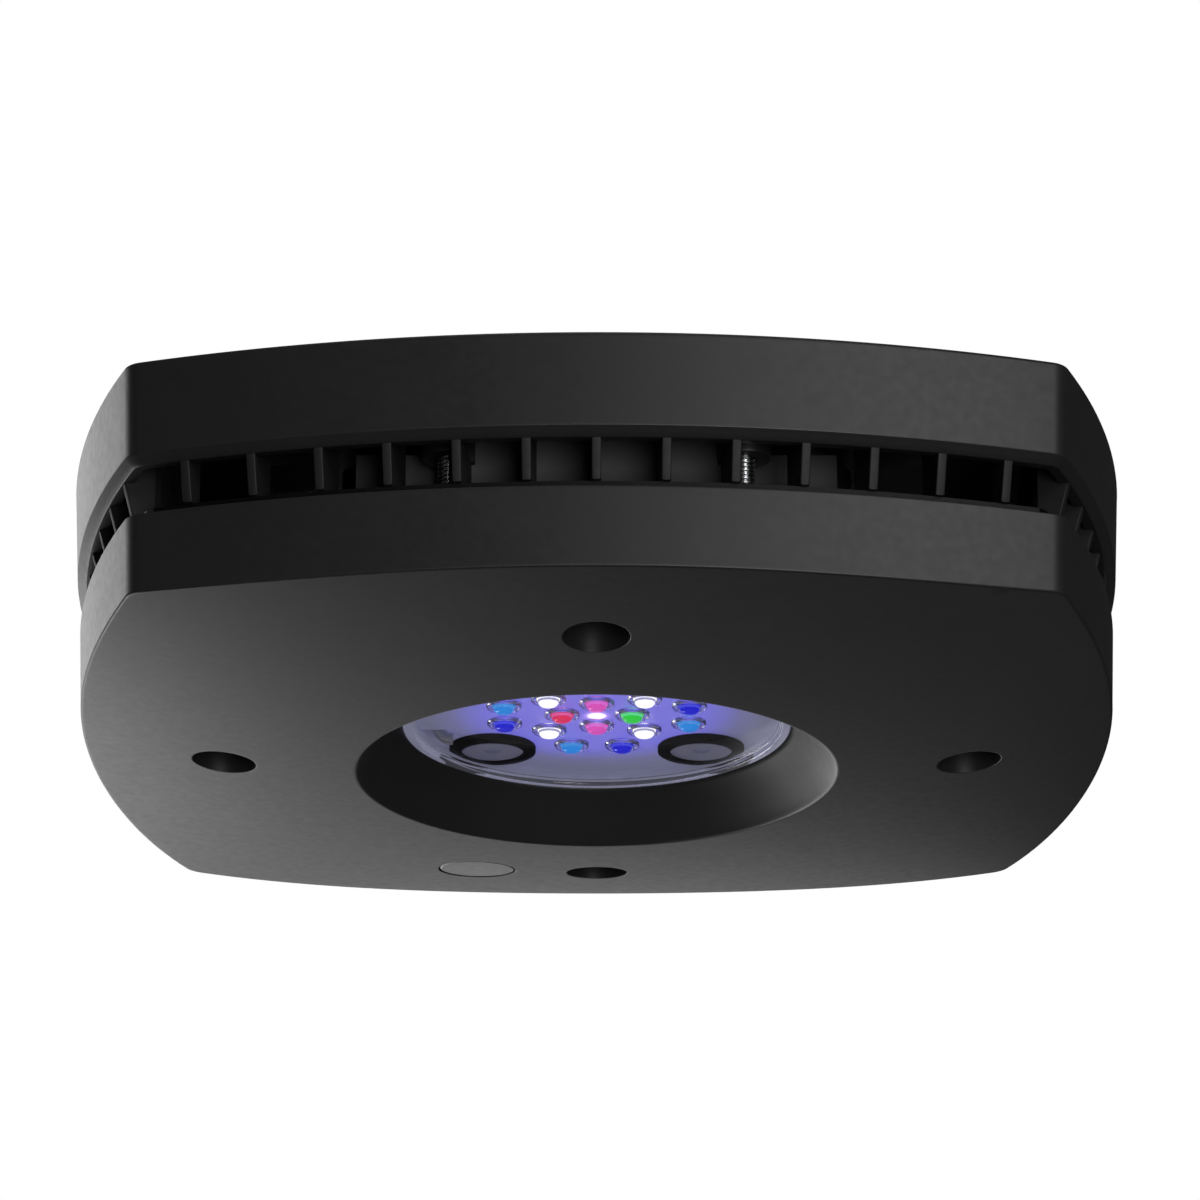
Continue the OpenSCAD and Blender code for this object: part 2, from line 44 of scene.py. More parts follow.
# Heights below are in millimetres above the rim of the light recess, the
# object's lowest point. The shared frame is in metres with z = 0 on top.
BODY_H = 32.5
ARC_C = 92.0
HALF_TOP = 62.75
DRAFT = 0.036
EDGE_Z = 3.9
TRAY_TOP = 13.3
CHIN_Z = 19.4
RIB_FOOT = 14.85
LIP_Z = 20.5
SHOULDER_Z = 31.5
CEIL_Z = 30.3
WELLS = [(0, -45), (45, 0), (0, 45), (-45, 0)]
BUTTON = (-15.3, 43.6)
WHITE = [(5.8, 5.8), (-5.8, 5.8), (5.8, -5.8), (-5.8, -5.8)]
VIOLET = [(0, 4.2), (0, -4.2)]
RED = [(-4.2, 0)]
GREEN = [(4.3, 0)]
ROYAL = [(11.2, -3.2), (-11.2, 3.2), (3.1, 11.5), (-3.1, -11.5)]
LIGHT = [(-11.2, -3.2), (11.2, 3.2), (-3.1, 11.5), (3.1, -11.5)]
ALL_LEDS = WHITE + VIOLET + RED + GREEN + ROYAL + LIGHT
WINDOWS = [(12.85, 12.85), (-12.85, 12.85), (12.85, -12.85), (-12.85, -12.85)]
FACE_Z, BACK_Z, BOARD_Z = 6.3, 6.9, 8.1


# ---------------------------------------------------------------- mesh tools
class Build:
    """Collects rings of vertices and the faces between them, in millimetres."""

    def __init__(self):
        self.v = []
        self.f = []

    def ring(self, points):
        i = len(self.v)
        self.v.extend([tuple(map(float, p)) for p in points])
        return list(range(i, len(self.v)))

    def circle(self, c, r, z, n, turn=0.0):
        pts = []
        for k in range(n):
            a = turn + TAU * k / n
            x, y = c[0] + r * COS(a), c[1] + r * SIN(a)
            pts.append((x, y, z(x, y) if callable(z) else z))
        return self.ring(pts)

    def bridge(self, a, b):
        n = len(a)
        for k in range(n):
            j = (k + 1) % n
            self.f.append((a[k], a[j], b[j], b[k]))
        return b

    def loft(self, rings):
        for a, b in zip(rings, rings[1:]):
            self.bridge(a, b)
        return rings[-1]

    def cap(self, a):
        self.f.append(tuple(a))

    def fan(self, a, centre):
        i = len(self.v)
        self.v.append(tuple(map(float, centre)))
        for k in range(len(a)):
            self.f.append((a[k], a[(k + 1) % len(a)], i))

    def revolve(self, profile, c=(0, 0), n=48, turn=0.0, close=True):
        """A closed solid of revolution: profile is (r, z) points; r = 0 only at its two ends."""
        rings = []
        first = last = None
        for k, (r, z) in enumerate(profile):
            if r < 1e-6:
                if k == 0:
                    first = z
                else:
                    last = z
            else:
                rings.append(self.circle(c, r, z, n, turn))
        self.loft(rings)
        if first is not None:
            self.fan(rings[0], (c[0], c[1], first))
        if last is not None:
            self.fan(rings[-1], (c[0], c[1], last))
        if first is None and last is None and close:
            self.bridge(rings[-1], rings[0])
        return rings

    def plate(self, outer, holes, zf, step):
        """Fills between a loop and the holes in it with a fine, even net of triangles on the surface zf."""
        loops = [outer] + holes
        flat, ids = [], []
        edges = []
        for loop in loops:
            s = len(flat)
            for i in loop:
                flat.append((self.v[i][0], self.v[i][1]))
                ids.append(i)
            n = len(loop)
            edges += [(s + k, s + (k + 1) % n) for k in range(n)]
        polys = [np.array([(self.v[i][0], self.v[i][1]) for i in loop]) for loop in loops]
        low, high = polys[0].min(0), polys[0].max(0)
        pts = []
        row = 0
        y = low[1] + step / 2
        while y < high[1]:
            x = low[0] + (step / 2 if row % 2 else 0.0)
            while x < high[0]:
                pts.append((x, y))
                x += step
            y += step * 0.866
            row += 1
        for h in polys[1:]:  # rings that grow away from a hole, so that the net is graded
            c = h.mean(0)
            r = np.hypot(*(h - c).T).mean()
            m, k, gap = len(h), 1, TAU * r / len(h)
            while gap < step * 0.9 and k < 7:
                gap = min(gap * 1.5, step)
                r += gap * 0.9
                m = max(8, int(TAU * r / gap))
                for q in range(m):
                    pts.append((c[0] + r * COS(TAU * (q + 0.5 * (k % 2)) / m), c[1] + r * SIN(TAU * (q + 0.5 * (k % 2)) / m)))
                k += 1
        pts = np.array(pts)
        keep = inside(pts, polys[0])
        for h in polys[1:]:
            keep &= ~inside(pts, h)
        pts = pts[keep]
        rim = np.concatenate(polys)
        good = []
        for p in pts:  # nothing nearer to a loop, or to a point already kept, than the local spacing
            d = np.hypot(*(rim - p).T)
            if d.min() < 0.45:
                continue
            good.append(p)
        good = np.array(good)
        kept = []
        cell = {}
        order = sorted(range(len(good)), key=lambda i: np.hypot(*(rim - good[i]).T).min())
        for i in order:
            p = good[i]
            near = np.hypot(*(rim - p).T).min()
            need = min(step * 0.75, 0.35 + near * 0.5)
            g = (int(p[0] // step), int(p[1] // step))
            ok = True
            for a in (-1, 0, 1):
                for b in (-1, 0, 1):
                    for q in cell.get((g[0] + a, g[1] + b), ()):
                        if abs(q[0] - p[0]) < need and abs(q[1] - p[1]) < need and math.hypot(q[0] - p[0], q[1] - p[1]) < need:
                            ok = False
            if ok:
                kept.append(p)
                cell.setdefault(g, []).append(p)
        for p in kept:
            flat.append((p[0], p[1]))
            ids.append(len(self.v))
            self.v.append((float(p[0]), float(p[1]), float(zf(p[0], p[1]))))
        got = delaunay_2d_cdt([Vector(p) for p in flat], edges, [], 0, 1e-6, True)
        back = [o[0] if o else None for o in got[3]]
        where = np.array([(v.x, v.y) for v in got[0]])
        tri = np.array(got[2])
        mid = where[tri].mean(1)
        use = inside(mid, polys[0])
        for h in polys[1:]:
            use &= ~inside(mid, h)
        for t in tri[use]:
            self.f.append(tuple(ids[back[k]] for k in t))

    def make(self, name, material, body="housing", sharp=32.0, extra=()):
        mesh = bpy.data.meshes.new(name)
        co = np.array(self.v, float)
        co[:, 2] -= BODY_H
        co /= 1000.0
        mesh.from_pydata(co.tolist(), [], self.f)
        mesh.update()
        import bmesh

        bm = bmesh.new()
        bm.from_mesh(mesh)
        bmesh.ops.recalc_face_normals(bm, faces=bm.faces)
        bm.to_mesh(mesh)
        bm.free()
        obj = bpy.data.objects.new(name, mesh)
        bpy.context.scene.collection.objects.link(obj)
        for m in [material, *extra]:
            mesh.materials.append(m)
        mesh.shade_smooth()
        mesh.set_sharp_from_angle(angle=math.radians(sharp))
        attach(obj, body)
        return obj


def inside(p, poly):
    """True for the points of p inside the polygon."""
    p = np.asarray(p, float).reshape(-1, 2)
    a, b = poly, np.roll(poly, -1, 0)
    x, y = p[:, :1], p[:, 1:]
    cross = (a[:, 1] > y) != (b[:, 1] > y)
    with np.errstate(divide="ignore", invalid="ignore"):
        at = (b[:, 0] - a[:, 0]) * (y - a[:, 1]) / (b[:, 1] - a[:, 1]) + a[:, 0]
    return ((cross & (x < at)).sum(1) % 2) == 1


def half_w(z):
    return HALF_TOP - (SHOULDER_Z - z) * DRAFT


def outline(z, inset, rc=2.3, ns=44, nc=9):
    """Plan outline at height z: four bowed sides joined by small round corners, as (x, y) points."""
    big = ARC_C + half_w(z) - inset
    rc = max(0.35, rc - inset)
    q = (-2 * ARC_C + math.sqrt(4 * ARC_C**2 - 8 * (ARC_C**2 - (big - rc) ** 2))) / 4
    phi = math.atan2(q, q + ARC_C)
    pts = []
    for k in range(4):
        c, s = COS(k * math.pi / 2), SIN(k * math.pi / 2)
        for i in range(ns):
            b = phi * (2 * i / ns - 1)
            x, y = big * SIN(b), ARC_C - big * COS(b)
            pts.append((x * c - y * s, x * s + y * c))
        for i in range(nc):
            b = phi + (math.pi / 2 - 2 * phi) * i / nc
            x, y = q + rc * SIN(b), -q - rc * COS(b)
            pts.append((x * c - y * s, x * s + y * c))
    return pts


def under(x, y):
    """The gently crowned underside of the lower shell."""
    r2 = x * x + y * y
    z = 0.001106 * r2 + 3.8044e-8 * (x**4 - 6 * x * x * y * y + y**4) - 0.972
    return min(z, 3.98)


RIM_A = None
RIM_R = None


def crown(x, y):
    """The top face: flat in the middle, falling away to a level shoulder."""
    global RIM_A, RIM_R
    if RIM_A is None:
        pts = outline(SHOULDER_Z, 0.0)
        table = sorted((math.atan2(q, p) % TAU, math.hypot(p, q)) for p, q in pts)
        RIM_A = np.array([table[-1][0] - TAU] + [a for a, _ in table] + [table[0][0] + TAU])
        RIM_R = np.array([table[-1][1]] + [r for _, r in table] + [table[0][1]])
    rho = math.hypot(x, y) / float(np.interp(math.atan2(y, x) % TAU, RIM_A, RIM_R))
    if rho < 0.8:
        return BODY_H
    t = min(1.0, (rho - 0.8) / 0.2)
    return BODY_H - 0.87 * (t * t * (1.6 - 0.6 * t))


def arc(n, a0, a1):
    return [math.radians(a0 + (a1 - a0) * k / n) for k in range(n + 1)]


# ---------------------------------------------------------------- materials
def new_mat(name):
    m = bpy.data.materials.new(name)
    m.use_nodes = True
    n = m.node_tree.nodes
    return m, n, m.node_tree.links, n["Principled BSDF"]


def node(nodes, kind, **inputs):
    x = nodes.new(kind)
    for k, v in inputs.items():
        if k in x.inputs:
            x.inputs[k].default_value = v
        else:
            setattr(x, k, v)
    return x


def tinted(nodes, links, coords, low, high, scale, detail=3.0):
    """A colour that wanders a little between low and high."""
    t = node(nodes, "ShaderNodeTexNoise", Scale=scale, Detail=detail)
    links.new(coords.outputs["Object"], t.inputs["Vector"])
    r = nodes.new("ShaderNodeValToRGB")
    r.color_ramp.elements[0].position, r.color_ramp.elements[1].position = 0.32, 0.68
    r.color_ramp.elements[0].color = (*low, 1)
    r.color_ramp.elements[1].color = (*high, 1)
    links.new(t.outputs["Fac"], r.inputs["Fac"])
    return r.outputs["Color"]


def plastic(name, colour, rough, vary=0.06, grain=6500.0, bump=0.05, depth=0.00001, spec=0.5, wear=0.0):
    """Moulded plastic: a fine spark-eroded grain, faint cloudiness in colour and gloss."""
    m, n, l, b = new_mat(name)
    c = n.new("ShaderNodeTexCoord")
    low = [max(0, x * (1 - vary)) for x in colour]
    high = [x * (1 + vary) for x in colour]
    l.new(tinted(n, l, c, low, high, 140.0), b.inputs["Base Color"])
    r = node(n, "ShaderNodeTexNoise", Scale=900.0, Detail=4.0)
    l.new(c.outputs["Object"], r.inputs["Vector"])
    mr = node(n, "ShaderNodeMapRange")
    mr.inputs["From Min"].default_value, mr.inputs["From Max"].default_value = 0.3, 0.7
    mr.inputs["To Min"].default_value, mr.inputs["To Max"].default_value = rough - 0.03, rough + 0.03
    l.new(r.outputs["Fac"], mr.inputs["Value"])
    l.new(mr.outputs["Result"], b.inputs["Roughness"])
    g = node(n, "ShaderNodeTexNoise", Scale=grain, Detail=2.0)
    l.new(c.outputs["Object"], g.inputs["Vector"])
    bm = node(n, "ShaderNodeBump", Strength=bump, Distance=depth)
    l.new(g.outputs["Fac"], bm.inputs["Height"])
    l.new(bm.outputs["Normal"], b.inputs["Normal"])
    b.inputs["Specular IOR Level"].default_value = spec
    return m


def metal(name, colour, rough, vary=0.08, brushed=None, bump=0.04, coat=0.0):
    m, n, l, b = new_mat(name)
    c = n.new("ShaderNodeTexCoord")
    low = [x * (1 - vary) for x in colour]
    high = [min(1, x * (1 + vary)) for x in colour]
    l.new(tinted(n, l, c, low, high, 500.0), b.inputs["Base Color"])
    b.inputs["Metallic"].default_value = 1.0
    r = node(n, "ShaderNodeTexNoise", Scale=2500.0, Detail=4.0)
    mp = node(n, "ShaderNodeMapping")
    mp.inputs["Scale"].default_value = brushed or (1, 1, 1)
    l.new(c.outputs["Object"], mp.inputs["Vector"])
    l.new(mp.outputs["Vector"], r.inputs["Vector"])
    mr = node(n, "ShaderNodeMapRange")
    mr.inputs["To Min"].default_value, mr.inputs["To Max"].default_value = rough - 0.08, rough + 0.08
    l.new(r.outputs["Fac"], mr.inputs["Value"])
    l.new(mr.outputs["Result"], b.inputs["Roughness"])
    bm = node(n, "ShaderNodeBump", Strength=bump, Distance=0.00001)
    l.new(r.outputs["Fac"], bm.inputs["Height"])
    l.new(bm.outputs["Normal"], b.inputs["Normal"])
    b.inputs["Coat Weight"].default_value = coat
    return m


SHELL = plastic("shell_moulded_black", (0.0165, 0.0165, 0.0172), 0.42)
# painted shade: the ribs are the shell's black plastic, given a darker base colour to tone down how brightly they are
# lit
RIB = plastic("vent_rib_black_painted_shade", (0.0125, 0.0125, 0.013), 0.55, spec=0.32)
GRILLE = plastic("grille_moulded_black", (0.016, 0.016, 0.017), 0.46)
INNER = plastic("inner_moulded_black", (0.017, 0.017, 0.018), 0.42)
# grey plastic whose base colour is raised above the other inner plastic so that the plate behind the vents reads as
# brightly lit: part its own grey, part painted light
HOLDER = plastic("holder_grey_and_painted_light", (0.062, 0.062, 0.064), 0.5)
BUTTON_M = plastic("button_satin_black", (0.050, 0.050, 0.051), 0.34, grain=9000.0, bump=0.02)
JACK_M = plastic("jack_gloss_black", (0.012, 0.012, 0.013), 0.22, bump=0.02)
FAN_M = plastic("fan_satin_black", (0.018, 0.018, 0.019), 0.34, bump=0.04)
RUBBER = plastic("silicone_black", (0.004, 0.004, 0.005), 0.8, grain=4000.0, bump=0.12, spec=0.05)
PLATED = plastic("matt_zinc_heads_painted_glow", (0.34, 0.34, 0.37), 0.4, grain=3000.0, bump=0.1)
# painted glow: a faint blue-violet emission on the zinc heads stands in for the LED light falling on them
for n_ in PLATED.node_tree.nodes:
    if n_.bl_idname == "ShaderNodeBsdfPrincipled":
        n_.inputs["Emission Color"].default_value = (0.07, 0.07, 0.13, 1)
        n_.inputs["Emission Strength"].default_value = 0.8
CHIP = plastic("chip_epoxy", (0.02, 0.02, 0.021), 0.5, grain=5000.0, bump=0.1)
NYLON = plastic("connector_nylon", (0.66, 0.62, 0.52), 0.42, bump=0.05)
SWITCH_W = plastic("switch_nylon", (0.72, 0.72, 0.7), 0.4)
PAD = plastic("thermal_pad_grey", (0.33, 0.33, 0.35), 0.7, grain=2500.0, bump=0.2)
LEAD_R = plastic("lead_red_pvc", (0.42, 0.02, 0.02), 0.38)
LEAD_K = plastic("lead_black_pvc", (0.02, 0.02, 0.02), 0.38)
LEAD_G = plastic("lead_grey_pvc", (0.3, 0.3, 0.32), 0.38)
LEAD_W = plastic("lead_white_pvc", (0.55, 0.55, 0.57), 0.38)
MAGNET = plastic("bonded_magnet", (0.06, 0.06, 0.062), 0.55, grain=3000.0, bump=0.15)
FERRITE = plastic("ferrite_body", (0.10, 0.10, 0.105), 0.55, grain=3000.0, bump=0.2)
STEEL = metal("zinc_plated_steel", (0.78, 0.79, 0.8), 0.24)
BRASS = metal("machined_brass", (0.72, 0.55, 0.26), 0.26)
BRONZE = metal("sintered_bronze", (0.50, 0.33, 0.17), 0.42, bump=0.3)
COPPER = metal("enamelled_copper", (0.62, 0.27, 0.11), 0.26, brushed=(1, 1, 30), coat=0.4)
LAMINATE = metal("stator_laminations", (0.36, 0.36, 0.38), 0.36, brushed=(1, 1, 60), bump=0.3)
TIN = metal("tinned_shield", (0.68, 0.69, 0.71), 0.3)
CAN = metal("capacitor_can", (0.62, 0.63, 0.66), 0.28)
ANODISED = metal("black_anodised", (0.018, 0.018, 0.019), 0.5, bump=0.15)


def board(name, mask, trace, copper):
    """Solder mask with fine tracks under it."""
    m, n, l, b = new_mat(name)
    c = n.new("ShaderNodeTexCoord")
    v = node(n, "ShaderNodeTexBrick", Scale=420.0)
    v.inputs["Color1"].default_value = (*mask, 1)
    v.inputs["Color2"].default_value = (*[x * 0.85 for x in mask], 1)
    v.inputs["Mortar"].default_value = (*trace, 1)
    v.inputs["Mortar Size"].default_value = 0.035
    l.new(c.outputs["Object"], v.inputs["Vector"])
    l.new(v.outputs["Color"], b.inputs["Base Color"])
    bm = node(n, "ShaderNodeBump", Strength=0.2, Distance=0.00003)
    l.new(v.outputs["Fac"], bm.inputs["Height"])
    l.new(bm.outputs["Normal"], b.inputs["Normal"])
    b.inputs["Roughness"].default_value = 0.3
    return m


BOARD = board("solder_mask_green", (0.012, 0.10, 0.035), (0.03, 0.2, 0.07), (0.7, 0.4, 0.2))


def led_board_mat():
    """White solder mask on aluminium, with the violet-blue light of the emitters next to it painted on as emission: a
    painted glow fading out from the middle and a painted bright spot near the centre.
    """
    m, n, l, b = new_mat("led_board_white_painted_glow")
    c = n.new("ShaderNodeTexCoord")
    b.inputs["Base Color"].default_value = (0.5, 0.5, 0.55, 1)
    b.inputs["Roughness"].default_value = 0.35

    def ramp_of(centre, reach, stops):
        move = node(n, "ShaderNodeVectorMath", operation="SUBTRACT")
        move.inputs[1].default_value = centre
        l.new(c.outputs["Object"], move.inputs[0])
        flat = node(n, "ShaderNodeVectorMath", operation="MULTIPLY")
        flat.inputs[1].default_value = (1, 1, 0)
        l.new(move.outputs["Vector"], flat.inputs[0])
        length = node(n, "ShaderNodeVectorMath", operation="LENGTH")
        l.new(flat.outputs["Vector"], length.inputs[0])
        mr = node(n, "ShaderNodeMapRange")
        mr.inputs["From Max"].default_value = reach
        l.new(length.outputs["Value"], mr.inputs["Value"])
        ramp = n.new("ShaderNodeValToRGB")
        cr = ramp.color_ramp
        cr.elements[0].position, cr.elements[0].color = stops[0][0], (*stops[0][1], 1)
        cr.elements[1].position, cr.elements[1].color = stops[-1][0], (*stops[-1][1], 1)
        for p, col in stops[1:-1]:
            e = cr.elements.new(p)
            e.color = (*col, 1)
        l.new(mr.outputs["Result"], ramp.inputs["Fac"])
        return ramp.outputs["Color"]

    # painted glow: the emitters' violet-blue light on the board, as emission fading outwards from the centre
    wash = ramp_of((0, 0, 0), 0.0235, [(0.0, (0.19, 0.15, 0.90)), (0.56, (0.17, 0.15, 0.86)), (0.66, (0.15, 0.14, 0.62)), (0.75, (0.125, 0.125, 0.34)), (0.88, (0.10, 0.10, 0.19)), (1.0, (0.09, 0.09, 0.15))])
    # painted highlight: a small bright whitish spot of emission near the centre of the board
    core = ramp_of((0, 0.0010, 0), 0.0020, [(0.0, (1.6, 1.5, 1.7)), (0.5, (1.5, 1.4, 1.6)), (0.64, (0.35, 0.2, 0.45)), (1.0, (0, 0, 0))])
    both = node(n, "ShaderNodeVectorMath", operation="ADD")
    l.new(wash, both.inputs[0])
    l.new(core, both.inputs[1])
    l.new(both.outputs["Vector"], b.inputs["Emission Color"])
    b.inputs["Emission Strength"].default_value = 0.9
    return m


LED_BOARD = led_board_mat()


def glow(name, light, strength, edge=0.75):
    """Lit silicone over a chip, a little dimmer towards its outline."""
    m, n, l, b = new_mat(name)
    b.inputs["Base Color"].default_value = (*[0.02 + 0.22 * x for x in light], 1)
    b.inputs["Roughness"].default_value = 0.12
    w = node(n, "ShaderNodeLayerWeight", Blend=0.3)
    r = n.new("ShaderNodeValToRGB")
    r.color_ramp.elements[0].color = (*light, 1)
    r.color_ramp.elements[1].color = (*[x * edge for x in light], 1)
    l.new(w.outputs["Facing"], r.inputs["Fac"])
    l.new(r.outputs["Color"], b.inputs["Emission Color"])
    b.inputs["Emission Strength"].default_value = strength
    return m


GLOW = {
    "led_white": glow("glow_white", (1.0, 0.99, 1.0), 1.6, 0.9),
    "led_violet": glow("glow_violet", (0.92, 0.10, 0.62), 1.0),
    "led_red": glow("glow_red", (1.0, 0.03, 0.14), 0.95),
    "led_green": glow("glow_green", (0.03, 0.80, 0.06), 1.0),
    "led_royal_blue": glow("glow_royal", (0.008, 0.008, 0.78), 1.0),
    "led_light_blue": glow("glow_light_blue", (0.02, 0.30, 0.93), 1.0),
}
CORE = {
    "led_white": glow("core_white", (0.50, 0.48, 0.85), 0.85),
    "led_violet": glow("core_violet", (0.95, 0.22, 0.88), 0.95),
    "led_red": glow("core_red", (1.0, 0.16, 0.50), 0.95),
    "led_green": glow("core_green", (0.18, 0.98, 0.42), 0.95),
    "led_royal_blue": glow("core_royal", (0.085, 0.10, 0.95), 0.95),
    "led_light_blue": glow("core_light_blue", (0.10, 0.38, 0.95), 0.95),
}

# ---- clear acrylic
ACRYLIC, n_, l_, b_ = new_mat("clear_acrylic")
b_.inputs["Base Color"].default_value = (0.985, 0.988, 1.0, 1)
b_.inputs["Transmission Weight"].default_value = 1.0
b_.inputs["IOR"].default_value = 1.49
c_ = n_.new("ShaderNodeTexCoord")
t_ = node(n_, "ShaderNodeTexNoise", Scale=700.0, Detail=2.0)
l_.new(c_.outputs["Object"], t_.inputs["Vector"])
mr_ = node(n_, "ShaderNodeMapRange")
mr_.inputs["To Min"].default_value, mr_.inputs["To Max"].default_value = 0.0, 0.035
l_.new(t_.outputs["Fac"], mr_.inputs["Value"])
l_.new(mr_.outputs["Result"], b_.inputs["Roughness"])


# painted glow: a weak emission on the clear edge acrylic stands in for LED light carried through the window
RIM_M, n_, l_, b_ = new_mat("edge_acrylic_painted_glow")
b_.inputs["Base Color"].default_value = (0.985, 0.988, 1.0, 1)
b_.inputs["Transmission Weight"].default_value = 1.0
b_.inputs["IOR"].default_value = 1.49
b_.inputs["Roughness"].default_value = 0.03
b_.inputs["Emission Color"].default_value = (0.92, 0.92, 1.15, 1)
b_.inputs["Emission Strength"].default_value = 0.022

# painted glow: frosted edge with a blue-white emission standing in for the LED light it scatters
FROST, n_, l_, b_ = new_mat("frosted_edge_painted_glow")
b_.inputs["Base Color"].default_value = (0.55, 0.56, 0.62, 1)
b_.inputs["Roughness"].default_value = 0.5
b_.inputs["Emission Color"].default_value = (0.13, 0.13, 0.2, 1)
b_.inputs["Emission Strength"].default_value = 0.75

# ---- moulded silicone over the emitters' chips
CLEAR, n_, l_, b_ = new_mat("clear_silicone")
b_.inputs["Base Color"].default_value = (1, 1, 1, 1)
b_.inputs["Transmission Weight"].default_value = 1.0
b_.inputs["IOR"].default_value = 1.42
b_.inputs["Roughness"].default_value = 0.0


# ---------------------------------------------------------------- upper shell
def ring_at(B, inset, zf, rc=3.0):
    z0 = zf(0, 0) if callable(zf) else zf
    pts = outline(z0 if not callable(zf) else SHOULDER_Z, inset, rc)
    return B.ring([(x, y, zf(x, y) if callable(zf) else zf) for x, y in pts])


plain_ring = ring_at
UPPER_WIDE = 0.5


def hole_in_face(B, c, r, zf, fillet, n, sign, support=0.15):
    """Rings of a filleted hole edge, from the surface inwards: returns (loop for the plate, last ring)."""
    first = B.circle(c, r + fillet + support, zf, n)
    rings = [first]
    for a in arc(4, 0, 90):
        rr = r + fillet * (1 - SIN(a))
        rings.append(B.circle(c, rr, lambda x, y, a=a: zf(x, y) + sign * fillet * (1 - COS(a)), n))
    B.loft(rings)
    return first, rings[-1]


def upper_shell():
    B = Build()

    def ring_at(B, inset, zf, rc=3.0):
        got = []
        for i in plain_ring(B, inset, zf, rc):
            x, y, z = B.v[i]
            bow = max(0.0, 1 - 0.9 * (y / 58.0) ** 2)
            B.v[i] = (x * (1 + bow * UPPER_WIDE / HALF_TOP * min(1.0, 0.8 + 0.2 * (z - LIP_Z) / 11)), y, z)
            got.append(i)
        return got

    rings = []
    # from the ceiling down the inside of the wall, round its foot, up the outside
    rings.append(ring_at(B, 2.4, CEIL_Z))
    rings.append(ring_at(B, 2.4, CEIL_Z - 0.5))
    rings.append(ring_at(B, 2.4, 24.0))
    rings.append(ring_at(B, 2.4, CHIN_Z + 0.3))
    rings.append(ring_at(B, 2.3, CHIN_Z + 0.05))
    rings.append(ring_at(B, 2.15, CHIN_Z))
    f = 0.12
    rings.append(ring_at(B, 0.97 + f + 0.06, CHIN_Z + 0.01))
    # foot to chamfer: small round
    for a in arc(3, 0, 45):
        rings.append(ring_at(B, 0.97 + f * 0.9 - f * SIN(a), CHIN_Z + f * (1 - COS(a))))
    # 45 degree chamfer with supports
    rings.append(ring_at(B, 0.90, CHIN_Z + 0.10))
    rings.append(ring_at(B, 0.5, CHIN_Z + 0.55))
    rings.append(ring_at(B, 0.12, LIP_Z - 0.12))
    for a in arc(4, 45, 90):
        rings.append(ring_at(B, 0.2 * (1 - SIN(a)), LIP_Z + 0.08 - 0.2 * COS(a)))
    z = LIP_Z + 0.25
    for zz in (z, 21.4, 23.5, 26.0, 28.5, 30.3, 30.85):
        rings.append(ring_at(B, 0.0, zz))
    # rounded top edge, running into the crowned face
    f = 0.45
    for a in arc(6, 0, 84):
        rings.append(ring_at(B, f * (1 - COS(a)), lambda x, y, a=a: crown(x, y) - f * (1 - SIN(a)) - 0.02))
    rings.append(ring_at(B, f + 0.12, lambda x, y: crown(x, y)))
    B.loft(rings)
    outer = rings[-1]
    # holes in the top face: fan opening, four inserts, power inlet
    holes, bottoms = [], []
    for c, r, fl, n in [((0, 0), 29.2, 0.25, 144)] + [((x, y), 2.8, 0.12, 40) for x in (-36, 36) for y in (-36, 36)] + [((8.8, -43.6), 4.1, 0.25, 56)]:
        loop, last = hole_in_face(B, c, r, crown, fl, n, -1)
        holes.append(loop)
        bottoms.append((c, r, n, last))
    B.plate(outer, holes, crown, 3.0)
    # undersides of those holes
    inner_holes = []
    for c, r, n, last in bottoms:
        if r > 20:
            a = B.circle(c, 29.2, 31.3, n)
            b = B.circle(c, 27.8, 31.3, n)
            d = B.circle(c, 27.8, CEIL_Z, n)
            B.loft([last, a, b, d])
        else:
            d = B.circle(c, r, CEIL_Z, n)
            B.bridge(last, d)
        inner_holes.append(d)
    B.plate(rings[0], inner_holes, lambda x, y: CEIL_Z, 5.0)
    return B.make("upper_shell", SHELL)


UPPER = upper_shell()
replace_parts(UPPER, "top_cover")


# ---- ribs between the shells, and the posts inside
def vent_ribs():
    B = Build()
    for side in range(4):
        ca, sa = COS(side * math.pi / 2), SIN(side * math.pi / 2)
        for n in range(-6, 7):
            ang = math.radians(n * 2.95)
            inner = (ARC_C + 50.6) / COS(ang)
            t = 0.55
            e = 0.16
            rings = []
            for z in (RIB_FOOT, RIB_FOOT + 0.1, 16.0, 17.6, CHIN_Z - 0.02, CHIN_Z + 0.2, CEIL_Z + 0.1):
                if z <= CHIN_Z:
                    big = ARC_C + half_w(z) - (1.0 + (CHIN_Z - z) * 0.24)
                else:
                    big = ARC_C + half_w(z) - 1.5
                k = e if z > RIB_FOOT + 0.05 else e + 0.08
                tt = t if z > RIB_FOOT + 0.05 else t - 0.08
                low, high = inner, big
                prof = [(-tt, low), (tt, low)]
                prof += [(tt, high - k * 1.6), (tt, high - k)]
                prof += [(tt - k * (1 - COS(a)), high - k * (1 - SIN(a))) for a in arc(3, 20, 90)]
                prof += [(-tt + k * (1 - COS(a)), high - k * (1 - SIN(a))) for a in reversed(arc(3, 20, 90))]
                prof += [(-tt, high - k), (-tt, high - k * 1.6)]
                pts = []
                for u, v in prof:
                    x = u * COS(ang) + v * SIN(ang)
                    y = ARC_C + u * SIN(ang) - v * COS(ang)
                    pts.append((x * ca - y * sa, x * sa + y * ca, z))
                rings.append(B.ring(pts))
            B.loft(rings)
            B.cap(rings[0])
            B.cap(rings[-1])
    return B.make("vent_ribs", RIB, sharp=38)


RIBS = vent_ribs()
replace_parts(RIBS, "top_cover")


